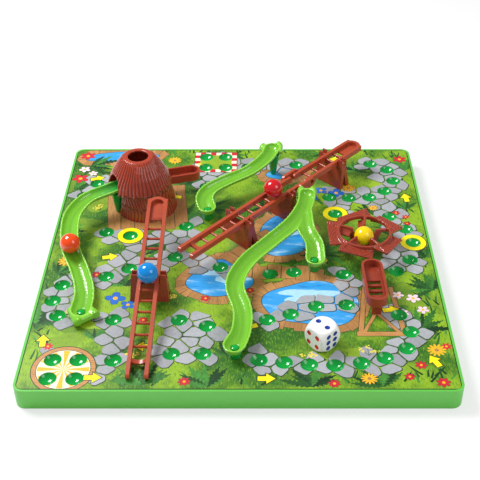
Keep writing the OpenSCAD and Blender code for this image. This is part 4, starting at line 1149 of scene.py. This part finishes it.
# The die: pips of each face, as shares of its side, and the turn that brings the face up, in
# degrees about X and Y
PIPS = {1: ((0, 0),), 2: ((0, -0.24), (0, 0.24)), 3: ((-0.22, -0.22), (0, 0), (0.22, 0.22)),
        4: ((-0.22, -0.22), (-0.22, 0.22), (0.22, -0.22), (0.22, 0.22)),
        5: ((-0.22, -0.22), (-0.22, 0.22), (0, 0), (0.22, -0.22), (0.22, 0.22)),
        6: ((-0.17, -0.28), (-0.17, 0), (-0.17, 0.28), (0.17, -0.28), (0.17, 0), (0.17, 0.28))}
DIE_FACES = ((5, 180, 0), (2, 0, 0), (6, 90, 0), (1, -90, 0), (3, 0, 90), (4, 0, -90))
DIE_TURN = 41.0
PIP_RADIUS = 0.0022
PIP_BOWL = 0.0048


class BOARD_OT_die(bpy.types.Operator):
    """Makes the die, rounded, with red and blue pips"""
    bl_idname = "board.die"
    bl_label = "Die"

    def execute(self, context):
        settings = context.scene.board_die
        side = settings.side
        bm = bmesh.new()
        bmesh.ops.create_cube(bm, size=side)
        bmesh.ops.subdivide_edges(bm, edges=bm.edges[:], cuts=27, use_grid_fill=True)
        for vertex in bm.verts:
            vertex.co *= (1 + (vertex.co.length / settings.ball) ** 30) ** (-1 / 30)
        body = new_piece("die_body", bm)
        bm = bmesh.new()
        rise = sqrt(PIP_BOWL ** 2 - PIP_RADIUS ** 2)
        for count, about_x, about_y in DIE_FACES:
            turn = (Matrix.Rotation(radians(about_y), 4, "Y")
                    @ Matrix.Rotation(radians(about_x), 4, "X"))
            for x, y in PIPS[count]:
                place = turn @ Matrix.Translation((x * side, y * side, side / 2 + rise))
                made = bmesh.ops.create_uvsphere(bm, u_segments=28, v_segments=24, radius=PIP_BOWL,
                                                 matrix=place)
                for face in {face for vertex in made["verts"] for face in vertex.link_faces}:
                    face.material_index = 1 if count in (1, 4) else 2
        cutter = new_piece("pip_cutters", bm)
        plastics = [plain_plastic("die_plastic", settings.white, 0.16, grain=0.002, shift=0.04,
                                  wear=0.0, coat=0.4)]
        for name in ("pip_red", "pip_blue"):
            colour = getattr(settings, name)
            plastics.append(plain_plastic(name + "_paint", colour, 0.3, grain=0.004, wear=0.0))
        paint(body, *plastics)
        paint(cutter, *plastics)
        modify(body, "Pips", "BOOLEAN", operation="DIFFERENCE", solver="EXACT", object=cutter)
        apply_modifiers(body)
        bpy.data.objects.remove(cutter)
        low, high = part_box("die")
        at = [(low[k] + high[k]) / 2 for k in range(3)]
        body.data.transform(Matrix.Translation(at) @ Matrix.Rotation(radians(DIE_TURN), 4, "Z"))
        shade_smooth(body)
        modify(body, "Normals", "WEIGHTED_NORMAL")
        stand_for(body, "die", "loose_die")
        return {"FINISHED"}


# The stage

class BOARD_OT_stage(bpy.types.Operator):
    """Makes the floor, the lamps, the sky and the camera"""
    bl_idname = "board.stage"
    bl_label = "Stage"

    def execute(self, context):
        settings = context.scene.board_stage
        scene = context.scene
        bm = bmesh.new()
        bmesh.ops.create_grid(bm, x_segments=2, y_segments=2, size=4.0)
        floor = new_piece("floor", bm)
        floor.location.z = -0.0002
        material, tree, surface, vector = new_material("floor_paint")
        colour = tree.mix(tree.noise(vector, 3.0), settings.floor, shade(settings.floor, 0.985))
        tree.feed(surface["Base Color"], colour)
        tree.feed(surface["Roughness"], 0.9)
        glow = tree.add("Emission", {"Color": WHITE, "Strength": 1.0}).outputs[0]
        share = tree.times(tree.add("LightPath").outputs["Is Camera Ray"], 0.55)
        matt = tree.nodes["Principled BSDF"].outputs[0]
        both = tree.add("MixShader", {0: share, 1: matt, 2: glow})
        tree.feed(tree.nodes["Material Output"].inputs["Surface"], both.outputs[0])
        paint(floor, material)
        for name, power, size, place in (("key_lamp", settings.key, 0.45, (-0.62, 0.30, 0.95)),
                                         ("fill_lamp", settings.fill, 0.6, (0.75, -0.45, 0.80))):
            lamp = bpy.data.lights.new(name, "AREA")
            lamp.energy, lamp.size = power, size
            holder = link(name, lamp)
            holder.location = place
            holder.rotation_euler = (-Vector(place)).to_track_quat("-Z", "Y").to_euler()
        scene.world = bpy.data.worlds.new("sky")
        scene.world.use_nodes = True
        sky = Tree(scene.world.node_tree)
        path = sky.add("LightPath").outputs
        clear = sky.maths("MAXIMUM", path["Is Camera Ray"], path["Is Transmission Ray"])
        strength = sky.band(path["Is Glossy Ray"], 0.0, 1.0, settings.sky, settings.mirrored_sky)
        background = sky.nodes["Background"].inputs
        sky.feed(background["Color"], WHITE)
        sky.feed(background["Strength"], sky.maths("MAXIMUM", strength, clear))
        camera = bpy.data.cameras.new("camera")
        camera.lens, camera.sensor_width = 72.05, 36.0
        camera.shift_x, camera.clip_start = -0.0275, 0.01
        scene.camera = link("camera", camera)
        scene.camera.location = (0.01057, -0.65096, 0.52747)
        scene.camera.rotation_euler = (radians(52.61), 0, 0)
        scene.view_settings.view_transform = "Standard"
        return {"FINISHED"}


OPERATORS = (BOARD_OT_stage, BOARD_OT_tray, BOARD_OT_sheet, BOARD_OT_snakes, BOARD_OT_hut,
             BOARD_OT_wheel, BOARD_OT_ladders, BOARD_OT_marbles, BOARD_OT_die)


class BOARD_PT_panel(bpy.types.Panel):
    """Lists the board's pieces and their settings"""
    bl_label = "Snakes and Ladders Board"
    bl_idname = "BOARD_PT_panel"
    bl_space_type = "VIEW_3D"
    bl_region_type = "UI"
    bl_category = "Board"

    def draw(self, context):
        for operator in OPERATORS:
            self.layout.operator(operator.bl_idname)
        for name, group in SETTINGS.items():
            box = self.layout.box()
            box.label(text=name.replace("board_", "").capitalize())
            for field in group.__annotations__:
                box.prop(getattr(context.scene, name), field)


def register():
    for cls in (*SETTINGS.values(), *OPERATORS, BOARD_PT_panel):
        bpy.utils.register_class(cls)
    for name, group in SETTINGS.items():
        setattr(bpy.types.Scene, name, bpy.props.PointerProperty(type=group))


def unregister():
    for name in SETTINGS:
        delattr(bpy.types.Scene, name)
    for cls in reversed((*SETTINGS.values(), *OPERATORS, BOARD_PT_panel)):
        bpy.utils.unregister_class(cls)


def main():
    register()
    for operator in OPERATORS:
        group, name = operator.bl_idname.split(".")
        getattr(getattr(bpy.ops, group), name)()


if __name__ == "__main__":
    main()
